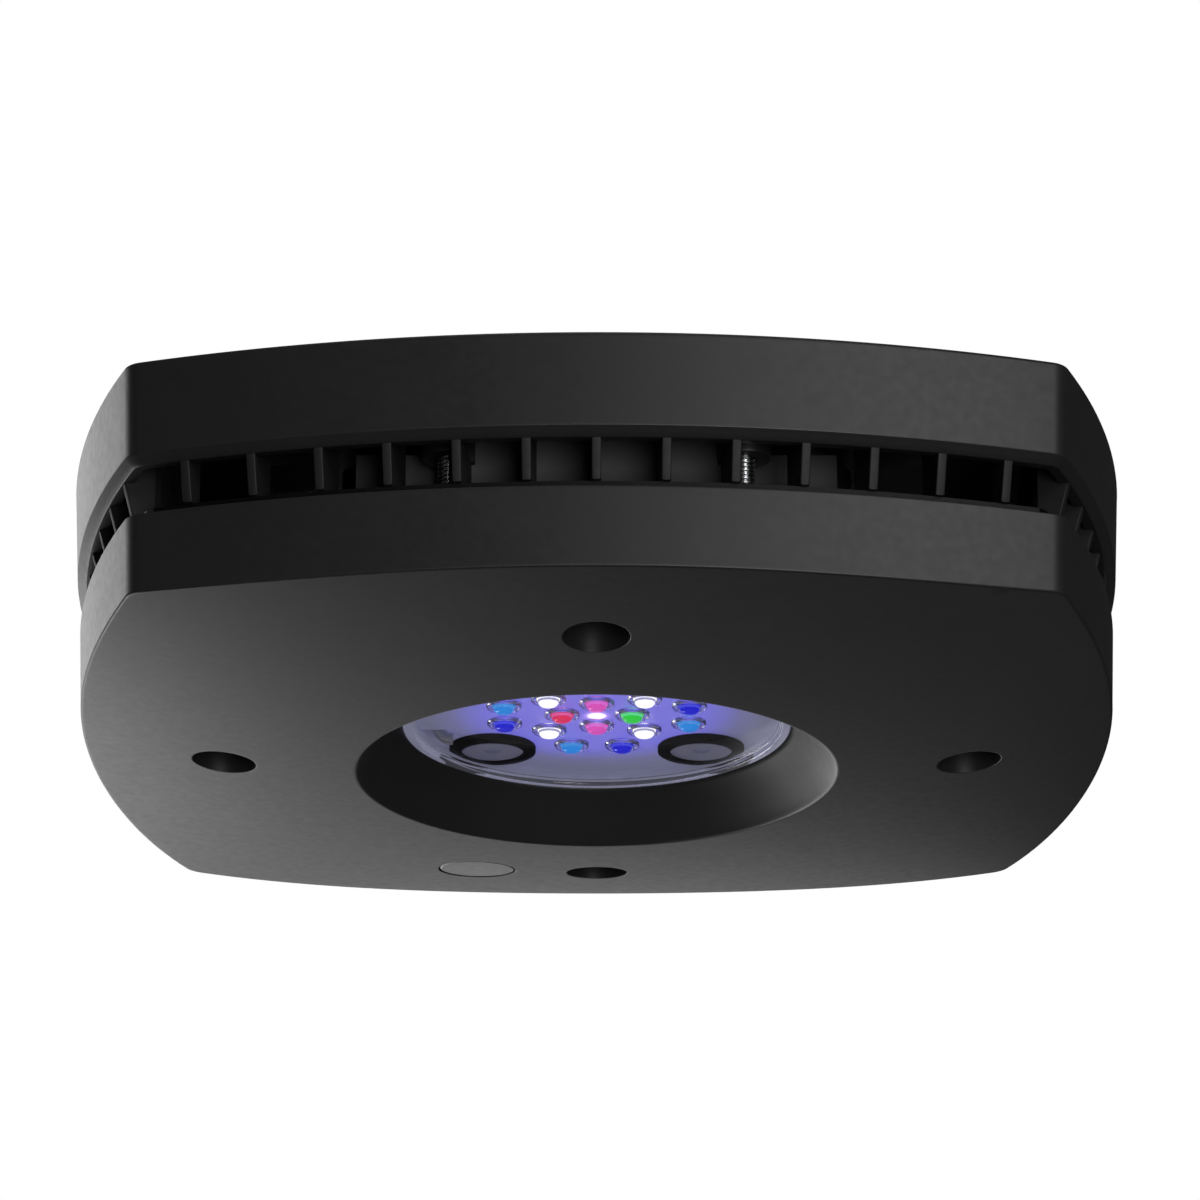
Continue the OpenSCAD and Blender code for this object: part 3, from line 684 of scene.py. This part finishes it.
def posts():
    B = Build()

    def post(c, r, z0, z1, bore, bz):
        e = 0.2
        B.revolve([(0, bz), (bore, bz), (bore, z0 + e), (bore + e * 0.7, z0), (r - e, z0), (r - e * 0.3, z0 + e * 0.3), (r, z0 + e), (r, z1), (0, z1)], c, 40)

    for c in WELLS:
        post(c, 3.5, TRAY_TOP + 0.05, CEIL_Z + 0.1, 1.53, 26)
    for x in (-16.8, 16.8):
        for y in (-51.6, 51.6):
            post((x, y), 3.0, 20.4, CEIL_Z + 0.1, 1.28, 28)
    for x in (-25, 25):
        for y in (-25, 25):
            post((x, y), 3.6, 28.6, CEIL_Z + 0.1, 1.53, 30.2)
    for x in (-36, 36):
        for y in (-36, 36):
            B.revolve([(0, 24.9), (2.8, 24.9), (2.8, CEIL_Z + 0.1), (4.6, CEIL_Z + 0.1), (4.6, 24.4), (4.4, 24.2), (0, 24.2)], (x, y), 40)
    return B.make("cover_posts", INNER, sharp=38)


POSTS = posts()
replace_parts(POSTS, "top_cover")


# ---------------------------------------------------------------- lower shell
def lower_shell():
    B = Build()

    def ring_at(B, inset, zf, rc=3.0):
        return plain_ring(B, inset - 0.1, zf, rc)

    rings = [ring_at(B, 2.4, 10.8), ring_at(B, 2.4, 12.9)]
    rings.append(ring_at(B, 2.3, TRAY_TOP - 0.04))
    rings.append(ring_at(B, 2.1, TRAY_TOP))
    f = 0.18
    rings.append(ring_at(B, f + 0.15, TRAY_TOP))
    for a in arc(5, 0, 90):
        rings.append(ring_at(B, f * (1 - SIN(a)), TRAY_TOP - f * (1 - COS(a))))
    for z in (12.9, 12.0, 11.0, 9.5, 7.5, 5.5, 4.75, EDGE_Z + 0.45):
        rings.append(ring_at(B, 0.0, z))
    f = 0.25
    for a in arc(5, 0, 80):
        pts = outline(EDGE_Z, f * (1 - COS(a)) - 0.12, 3.0)
        rings.append(B.ring([(x, y, under(x, y) + f * (1 - SIN(a))) for x, y in pts]))
    pts = outline(EDGE_Z, f, 3.0)
    rings.append(B.ring([(x, y, under(x, y)) for x, y in pts]))
    B.loft(rings)
    outer = rings[-1]
    holes = []
    deep = []
    for c in WELLS:
        loop, last = hole_in_face(B, c, 3.85, under, 0.1, 64, 1)
        holes.append(loop)
        deep.append((c, last))
    bloop, blast = hole_in_face(B, BUTTON, 4.92, under, 0.10, 72, 1)
    holes.append(bloop)
    # recess rim, cone, throat and the seat of the lens
    n = 180
    rim = [B.circle((0, 0), 29.45, under, n), B.circle((0, 0), 29.28, under, n)]
    for r, z in ((29.13, 0.015), (29.0, 0.07), (28.88, 0.17)):
        rim.append(B.circle((0, 0), r, lambda x, y, z=z: under(x, y) + z, n))
    cone = lambda z: 29.0 - (29.0 - 23.7) * z / 5.8
    for z in (0.35, 1.2, 2.6, 4.2, 5.4):
        rim.append(B.circle((0, 0), cone(z), z, n))
    rim.append(B.circle((0, 0), 23.74, 5.72, n))
    for r, z in ((23.7, 5.82), (23.7, 6.8), (28.1, 6.8), (28.1, 9.3), (28.3, 9.4), (31.3, 9.4), (31.5, 9.2)):
        rim.append(B.circle((0, 0), r, z, n))
    B.loft(rim)
    holes.append(rim[0])
    B.plate(outer, holes, under, 2.2)
    # inside: floor, ledge for the heatsink, screw bosses, button guide
    up = lambda x, y: under(x, y) + 2.2
    boss = []
    for c, last in deep:
        a = B.circle(c, 3.85, 9.3, 64)
        b = B.circle(c, 1.7, 9.3, 64)
        d = B.circle(c, 1.7, 10.75, 64)
        e = B.circle(c, 5.5, 10.75, 64)
        g = B.circle(c, 5.6, 10.6, 64)
        h = B.circle(c, 5.6, up, 64)
        B.loft([last, a, b, d, e, g, h])
        boss.append(h)
    a = B.circle(BUTTON, 4.92, 4.6, 72)
    b = B.circle(BUTTON, 5.9, 4.6, 72)
    d = B.circle(BUTTON, 5.9, 5.05, 72)
    e = B.circle(BUTTON, 7.0, 5.05, 72)
    g = B.circle(BUTTON, 7.0, up, 72)
    B.loft([blast, a, b, d, e, g])
    boss.append(g)
    k = B.circle((0, 0), 31.5, up, n)
    B.bridge(rim[-1], k)
    boss.append(k)
    step = ring_at(B, 4.2, 10.8)
    wall = ring_at(B, 4.2, 7.5)
    foot = B.ring([(x, y, under(x, y) + 2.2) for x, y in outline(7.0, 4.2)])
    B.loft([rings[0], step, wall, foot])
    B.plate(foot, boss, up, 5.0)
    return B.make("lower_shell", SHELL)


LOWER = lower_shell()
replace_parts(LOWER, "bottom_cover")


# ---------------------------------------------------------------- button
def button():
    B = Build()
    n = 72
    top = lambda x, y: under(x, y) + 0.05
    rings = [B.circle(BUTTON, r, top, n) for r in (0.6, 1.8, 3.0, 4.0, 4.45)]
    for a in arc(5, 0, 90):
        rings.append(B.circle(BUTTON, 4.8 - 0.3 * (1 - SIN(a)), lambda x, y, a=a: under(x, y) + 0.05 + 0.3 * (1 - COS(a)), n))
    for r, z in ((4.8, 4.65), (5.5, 4.65), (5.6, 4.75), (5.6, 5.3), (5.5, 5.4), (1.9, 5.4), (1.8, 5.5), (1.8, 5.8), (0.6, 5.8)):
        rings.append(B.circle(BUTTON, r, z, n))
    B.loft(rings)
    B.fan(rings[0], (*BUTTON, top(*BUTTON)))
    B.fan(rings[-1], (*BUTTON, 5.8))
    return B.make("button_cap_satin", BUTTON_M, body="button")


BUTTON_O = button()
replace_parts(BUTTON_O, "button_cap")


# ---------------------------------------------------------------- clear window
def lens():
    B = Build()
    n = 192
    # thin flat window, raised rim, flange on the seat and clamp ring
    back = B.circle((0, 0), 21.9, BACK_Z, n)
    front = B.circle((0, 0), 21.9, FACE_Z, n)
    rings = [front]
    for r, z in ((22.1, FACE_Z - 0.01), (22.2, 6.22), (22.26, 6.02), (22.34, 5.82), (22.48, 5.72), (22.65, 5.7), (23.15, 5.7), (23.36, 5.76), (23.46, 5.9), (23.5, 6.1),
                 (23.5, 7.4), (27.8, 7.4), (27.9, 7.5), (27.9, 10.65), (27.8, 10.75), (25.1, 10.75), (25.0, 10.65), (25.0, 8.15), (24.9, 8.05), (22.3, 8.05),
                 (22.2, 7.95), (22.2, 7.0), (22.1, 6.9)):
        rings.append(B.circle((0, 0), r, z, n))
    rings.append(back)
    B.loft(rings)
    B.plate(front, [], lambda x, y: FACE_Z, 3.0)
    B.plate(back, [], lambda x, y: BACK_Z, 3.0)
    o = B.make("clear_window", ACRYLIC, sharp=40, extra=[FROST, RIM_M])
    # faces of the inner step and clamp ring take the frosted material, faces of the raised rim and flange seat the
    # edge acrylic; both carry a painted glow
    for p in o.data.polygons:
        q = [B.v[i] for i in p.vertices]
        r = [math.hypot(v[0], v[1]) for v in q]
        z = [v[2] for v in q]
        if min(r) > 22.0 and max(r) < 25.2 and min(z) > 6.95 and (max(r) < 22.4 or min(z) > 7.9):
            p.material_index = 1
        elif min(r) > 22.05 and max(z) < 7.45:
            p.material_index = 2
    return o


LENS = lens()
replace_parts(LENS, "lens")


# ---------------------------------------------------------------- emitters
PACKAGE = plastic("led_ceramic", (0.7, 0.7, 0.72), 0.35)


def emitters(name, points, slot, nodes):
    B = Build()
    cores = []
    for c in points:
        start = len(B.f)
        # the bowl: widest at its foot, rounded at its tip, with a dark band where the chip lies
        B.revolve([(0, 7.96), (1.34, 7.96), (1.42, 7.9), (1.43, 7.82), (1.38, 7.76), (1.3, 7.72), (1.24, 7.5), (1.22, 7.46), (1.2, 7.4), (1.1, 7.22), (0.95, 7.08), (0.75, 7.0), (0.5, 6.96), (0, 6.95)], c, 40)
        for k in range(start, len(B.f)):
            z = [B.v[i][2] for i in B.f[k]]
            if min(z) > 7.45 and max(z) < 7.75:
                cores.append(k)
    o = B.make(name, GLOW[slot], sharp=60, extra=[CORE[slot]])
    for k in cores:
        o.data.polygons[k].material_index = 1
    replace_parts(o, *nodes)
    P = Build()
    for c in points:
        rings = []
        for w, z in ((1.42, 8.1), (1.5, 8.02), (1.5, 7.94), (1.44, 7.9)):
            rings.append(P.ring([(c[0] + u * w, c[1] + v * w, z) for u, v in ((-0.94, -1), (0.94, -1), (1, -0.94), (1, 0.94), (0.94, 1), (-0.94, 1), (-1, 0.94), (-1, -0.94))]))
        P.loft(rings)
        P.cap(rings[0])
        P.cap(rings[-1])
    p = P.make(name.replace("dome", "package"), PACKAGE, sharp=50)
    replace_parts(p, *nodes)
    H = Build()
    for c in points:
        H.revolve([(1.86, 8.08), (1.84, 7.7), (1.88, 7.62), (1.98, 7.58), (2.08, 7.62), (2.12, 7.7), (2.14, 8.08)], c, 40)
    h = H.make(name.replace("dome", "collar"), ACRYLIC, sharp=50)
    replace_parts(h, *nodes)
    return o


emitters("domes_white", WHITE, "led_white", ["leds_white"])
emitters("domes_violet", VIOLET, "led_violet", ["leds_violet"])
emitters("dome_red", RED, "led_red", ["led_red"])
emitters("dome_green", GREEN, "led_green", ["led_green"])
emitters("domes_royal_blue", ROYAL, "led_royal_blue", ["leds_royal_blue"])
emitters("domes_light_blue", LIGHT, "led_light_blue", ["leds_light_blue"])


# ---------------------------------------------------------------- screws with real threads
def threaded(B, c, z0, z1, r_out, r_in, pitch, n=28, starts=0.0):
    """A helical 60 degree thread as one open strip of faces, from z0 up to z1."""
    turns = (z1 - z0) / pitch
    steps = int(turns * n)
    prof = [(r_in, 0.0), (r_in, 0.10), (r_out, 0.44), (r_out, 0.56), (r_in, 0.90)]
    cols = []
    for k in range(steps + 1):
        a = TAU * k / n + starts
        base = z0 + pitch * k / n
        pts = []
        for r, u in prof:
            z = base + (u - 0.5) * pitch
            fade = min(1.0, max(0.0, (z - z0) / 0.3)) * min(1.0, max(0.0, (z1 - z) / 0.3))
            rr = r_in + (r - r_in) * fade
            pts.append((c[0] + rr * COS(a), c[1] + rr * SIN(a), min(max(z, z0), z1)))
        cols.append(B.ring(pts))
    m = len(prof)
    for a, b in zip(cols, cols[1:]):
        for k in range(m - 1):
            B.f.append((a[k], b[k], b[k + 1], a[k + 1]))
    return cols


def helical_screw(B, c, z0, z1, r_out, r_in, pitch, n=28):
    """Closed screw shank: a heightfield r(angle, z) that carries the helix."""
    rows = int((z1 - z0) / (pitch / 8)) + 1
    rings = []
    for i in range(rows + 1):
        z = z0 + (z1 - z0) * i / rows
        pts = []
        for k in range(n):
            a = TAU * k / n
            u = ((z - z0) / pitch - k / n) % 1.0
            h = max(0.0, min(1.0, 2.2 * (0.5 - abs(u - 0.5)) - 0.05))
            fade = min(1.0, (z - z0) / (pitch * 0.8), (z1 - z) / (pitch * 0.8))
            r = r_in + (r_out - r_in) * h * max(0.0, fade)
            pts.append((c[0] + r * COS(a), c[1] + r * SIN(a), z))
        rings.append(B.ring(pts))
    B.loft(rings)
    B.cap(rings[0])
    B.cap(rings[-1])


def socket_head(B, c, z_seat, h, r, hexr, shank_r, shank_z):
    """Cylinder head below its seat with a hexagon socket, and a plain neck above."""
    n = 48
    z0 = z_seat - h
    e = 0.22

    def hexring(rad, z):
        pts = []
        for k in range(n):
            a = TAU * k / n
            s = (a % (math.pi / 3)) - math.pi / 6
            rr = rad * COS(math.pi / 6) / COS(s)
            pts.append((c[0] + rr * COS(a), c[1] + rr * SIN(a), z))
        return B.ring(pts)

    rings = [hexring(hexr * 0.6, z0 + h * 0.55 + 0.2), hexring(hexr, z0 + h * 0.55), hexring(hexr, z0 + 0.15), hexring(hexr * 1.1, z0)]
    for rr, z in ((r - e - 0.05, z0), (r - e, z0), (r - e * 0.3, z0 + e * 0.3), (r, z0 + e), (r, z_seat - 0.08), (r - 0.08, z_seat), (shank_r, z_seat), (shank_r, shank_z)):
        rings.append(B.circle(c, rr, z, n))
    B.loft(rings)
    B.cap(rings[0])
    B.cap(rings[-1])


def screws(name, points, z_seat, h, r, hexr, z1, r_out, r_in, pitch, node_name):
    B = Build()
    for c in points:
        socket_head(B, c, z_seat, h, r, hexr, r_in, z_seat + 0.6)
        helical_screw(B, c, z_seat + 0.3, z1, r_out, r_in, pitch)
    o = B.make(name, STEEL, sharp=50)
    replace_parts(o, node_name)
    return o


HS = [(x, y) for x in (-16.8, 16.8) for y in (-51.6, 51.6)]
screws("heatsink_screws_threaded", HS, 10.8, 2.4, 2.25, 1.17, 27.5, 1.25, 1.0, 0.5, "heatsink_screws")
screws("case_screws_threaded", WELLS, 9.3, 3.0, 2.75, 1.43, 25.0, 1.5, 1.2, 0.6, "case_screws")


# ---------------------------------------------------------------- top: grille, inserts
def grille():
    B = Build()
    n = 120

    def bar(r0, r1, z0, z1, e):
        B.revolve([(r0, z0 + e), (r0 + e * 0.3, z0 + e * 0.3), (r0 + e, z0), (r1 - e, z0), (r1 - e * 0.3, z0 + e * 0.3), (r1, z0 + e),
                   (r1, z1 - e), (r1 - e * 0.12, z1 - e * 0.6), (r1 - e * 0.45, z1 - e * 0.25), (r1 - e, z1), (r0 + e, z1), (r0 + e * 0.45, z1 - e * 0.25), (r0 + e * 0.12, z1 - e * 0.6), (r0, z1 - e)], (0, 0), n)

    bar(26.2, 29.1, 31.3, 32.5, 0.18)
    r = 5.2
    while r < 22.2:
        bar(r - 0.7, r + 0.7, 31.5, 32.4, 0.3)
        r += 4.2
    for k in range(6):
        a = k * math.pi / 3
        rings = []
        for x in (4.8, 26.4):
            prof = [(-0.8, 31.6), (-0.6, 31.5), (0.6, 31.5), (0.8, 31.6), (0.8, 32.1), (0.74, 32.27), (0.55, 32.38), (0.3, 32.4), (-0.3, 32.4), (-0.55, 32.38), (-0.74, 32.27), (-0.8, 32.1)]
            rings.append(B.ring([(x * COS(a) - u * SIN(a), x * SIN(a) + u * COS(a), z) for u, z in prof]))
        B.loft(rings)
        B.cap(rings[0])
        B.cap(rings[1])
    for k in range(4):
        a = math.radians(30 + 90 * k)
        prof = [(26.3, 31.4), (26.3, 29.6), (26.5, 29.4), (28.0, 29.4), (28.2, 29.6), (28.0, 30.1), (27.6, 30.25), (27.6, 31.4)]
        rings = []
        for u in (-2, 2):
            rings.append(B.ring([(r * COS(a) - u * SIN(a), r * SIN(a) + u * COS(a), z) for r, z in prof]))
        B.loft(rings)
        B.cap(rings[0])
        B.cap(rings[1])
    return B.make("grille_rounded", GRILLE, sharp=42)


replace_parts(grille(), "intake_grille")


def inserts():
    B = Build()
    for x in (-36, 36):
        for y in (-36, 36):
            prof = [(2.8, 25.0), (2.8, 31.4), (2.72, 31.5), (2.72, 32.38), (2.62, 32.5), (2.3, 32.5), (2.02, 32.25)]
            z = 32.2
            while z > 25.6:
                prof += [(2.0, z), (2.0, z - 0.1), (2.22, z - 0.35), (2.22, z - 0.4), (2.0, z - 0.65)]
                z -= 0.7
            prof += [(2.0, 24.95), (2.1, 24.9), (2.7, 24.9)]
            B.revolve(prof, (x, y), 48)
    return B.make("threaded_inserts", BRASS, sharp=40)


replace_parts(inserts(), "mount_inserts")


# ---------------------------------------------------------------- fan rotor
def rotor():
    B = Build()
    n = 96
    B.revolve([(0, 27.6), (1.0, 27.6), (1.0, 25.9), (2.4, 25.9), (2.4, 27.0), (11.6, 27.0), (11.7, 26.9), (11.7, 20.35), (11.75, 20.3), (12.45, 20.3), (12.5, 20.35), (12.5, 27.3),
               (12.42, 27.65), (12.2, 27.88), (11.9, 27.98), (11.5, 28.0), (0, 28.0)], (0, 0), n)
    rows, cols = 14, 12
    for i in range(7):
        a0 = TAU * i / 7
        upper, lower = [], []
        for j in range(rows + 1):
            t = j / rows
            r = 12.2 + (27.3 - 12.2) * t
            pitch = math.radians(46 - 14 * t)
            chord = 4.6 + 0.9 * math.sin(math.pi * min(1, t * 1.1)) if t < 0.9 else 5.35 - 6 * (t - 0.9)
            sweep = math.radians(10) * t * t
            up, lo = [], []
            for k in range(cols + 1):
                s = k / cols * 2 - 1
                camber = 0.85 * (1 - s * s)
                th = 0.45 * math.sqrt(max(0.0, 1 - s * s)) * (1 - 0.25 * t) + 0.07
                u = s * chord
                x = u * math.cos(pitch)
                z = u * math.sin(pitch) * 0.98
                nx, nz = -math.sin(pitch), math.cos(pitch)
                for store, side in ((up, 1), (lo, -1)):
                    tx = x + nx * (camber * 0.6 + side * th / 2 * 1.4)
                    tz = z + nz * (camber * 0.6 + side * th / 2 * 1.4)
                    ang = a0 + sweep + tx / r
                    zz = min(28.2, max(20.45, 24.1 + tz))
                    store.append((r * math.cos(ang), r * math.sin(ang), zz))
            upper.append(up)
            lower.append(lo)
        rings = [B.ring(up + lo[::-1]) for up, lo in zip(upper, lower)]
        B.loft(rings)
        m = cols + 1
        for end in (rings[0], rings[-1]):
            for k in range(cols):
                B.f.append((end[k], end[k + 1], end[2 * m - 2 - k], end[2 * m - 1 - k]))
    return B.make("rotor_bladed", FAN_M, body="rotor", sharp=35)


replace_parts(rotor(), "fan_rotor")

# ---------------------------------------------------------------- CAD nodes that stay
FINISH = {
    "lens_gasket": RUBBER, "board_washers": RUBBER, "led_board": LED_BOARD, "thermal_pad": PAD, "led_board_screws": PLATED,
    "heatsink": ANODISED, "inlet_holder": HOLDER, "holder_screws": STEEL, "dc_jack": JACK_M, "dc_jack_pin": STEEL,
    "dc_jack_contacts": BRASS, "driver_board": BOARD, "driver_screws": STEEL, "power_inductors": FERRITE,
    "power_capacitors": CAN, "driver_chips": CHIP, "board_connectors": NYLON, "fan_frame": FAN_M, "fan_screws": STEEL,
    "fan_stator": LAMINATE, "fan_coils": COPPER, "fan_bearing": BRONZE, "fan_circuit": BOARD, "fan_magnet": MAGNET,
    "fan_shaft": STEEL, "switch_body": CHIP, "switch_plunger": SWITCH_W, "control_board": BOARD, "control_screws": STEEL,
    "wifi_module": TIN, "lead_grommets": RUBBER, "led_leads": LEAD_W, "power_leads": LEAD_K, "fan_leads": LEAD_R,
    "control_leads": LEAD_G,
}
SOFT_EDGE = {"inlet_holder": 0.2, "dc_jack": 0.15, "heatsink": 0.15, "fan_frame": 0.2, "driver_board": 0.08, "power_inductors": 0.35,
             "driver_chips": 0.1, "board_connectors": 0.1, "wifi_module": 0.15, "board_washers": 0.06, "led_board": 0.08}
for name, obj in NODE.items():
    if name in FINISH:
        obj.data.materials.clear()
        obj.data.materials.append(FINISH[name])
        obj.data.shade_smooth()
        obj.data.set_sharp_from_angle(angle=math.radians(30))
    if name in SOFT_EDGE:
        bv = obj.modifiers.new("soft_edge", "BEVEL")
        bv.width = SOFT_EDGE[name] / 1000
        bv.segments = 2
        bv.limit_method = "ANGLE"
        bv.angle_limit = math.radians(50)
        bv.harden_normals = False
        bv.use_clamp_overlap = True

# ---------------------------------------------------------------- stage, lights, camera
scene = bpy.context.scene
scene.view_settings.view_transform = "Standard"
scene.view_settings.look = "None"
scene.view_settings.exposure = 0.0
scene.view_settings.gamma = 1.0

floor_mesh = bpy.data.meshes.new("floor")
floor_mesh.from_pydata([(-6, -6, -1.3), (6, -6, -1.3), (6, 6, -1.3), (-6, 6, -1.3)], [], [(0, 1, 2, 3)])
floor = bpy.data.objects.new("floor", floor_mesh)
scene.collection.objects.link(floor)
fm, fn, fl, fb = new_mat("pale_floor")
fb.inputs["Base Color"].default_value = (0.8, 0.8, 0.8, 1)
fb.inputs["Roughness"].default_value = 0.8
floor_mesh.materials.append(fm)
floor.visible_glossy = False

world = bpy.data.worlds.new("studio")
scene.world = world
world.use_nodes = True
wn, wl = world.node_tree.nodes, world.node_tree.links
bg = wn["Background"]
lp = wn.new("ShaderNodeLightPath")
mixc = wn.new("ShaderNodeMix")
mixc.data_type = "FLOAT"
AMBIENT = 0.03
mixc.inputs[2].default_value = AMBIENT
mixc.inputs[3].default_value = 1.0
wl.new(lp.outputs["Is Camera Ray"], mixc.inputs[0])
wl.new(mixc.outputs[0], bg.inputs["Strength"])
bg.inputs["Color"].default_value = (1, 1, 1, 1)

LIGHTS = {
    # name: (azimuth from the front towards +X, elevation, distance, size, radiance)
    "soft_top": (0, 80, 1.5, 0.72, 1.3),
    "soft_back_high": (180, 42, 1.5, 0.72, 0.8),
    "soft_front_low": (16, -15, 1.5, 0.72, 5.8),
    "soft_front_right": (20, 18, 1.5, 0.72, 1.734),
    "soft_right": (40, 18, 1.5, 0.72, 2.243),
    "soft_back_low": (185, -4, 1.5, 0.72, 0.74),
    "soft_back_under": (190, -35, 1.5, 0.72, 0.07),
    "soft_left_low": (202, -7, 1.5, 0.72, 2.0),
    "soft_left_back": (210, 18, 1.5, 0.72, 2.022),
    "soft_left_under": (215, -35, 1.5, 0.72, 4.7),
    "soft_left": (240, 18, 1.5, 0.72, 1.993),
}
for name, (az, el, dist, size, rad) in LIGHTS.items():
    a, e = math.radians(az), math.radians(el)
    d = Vector((SIN(a) * COS(e), -COS(a) * COS(e), SIN(e)))
    data = bpy.data.lights.new(name, "AREA")
    data.shape = "DISK"
    data.size = size
    area = math.pi * size * size / 4
    data.energy = rad * area * math.pi
    ob = bpy.data.objects.new(name, data)
    scene.collection.objects.link(ob)
    ob.location = d * dist + Vector((0, 0, -0.016))
    ob.rotation_euler = d.to_track_quat("Z", "Y").to_euler()
    ob.visible_camera = False

cam_data = bpy.data.cameras.new("camera")
cam_data.sensor_width = 36.0
cam_data.lens = 172.9
cam_data.clip_start = 0.01
cam_data.clip_end = 50.0
cam = bpy.data.objects.new("camera", cam_data)
scene.collection.objects.link(cam)
cam.location = (0.00040, -0.6609, -0.2506)
cam.rotation_euler = (math.radians(109.987), 0.0, 0.0)
scene.camera = cam
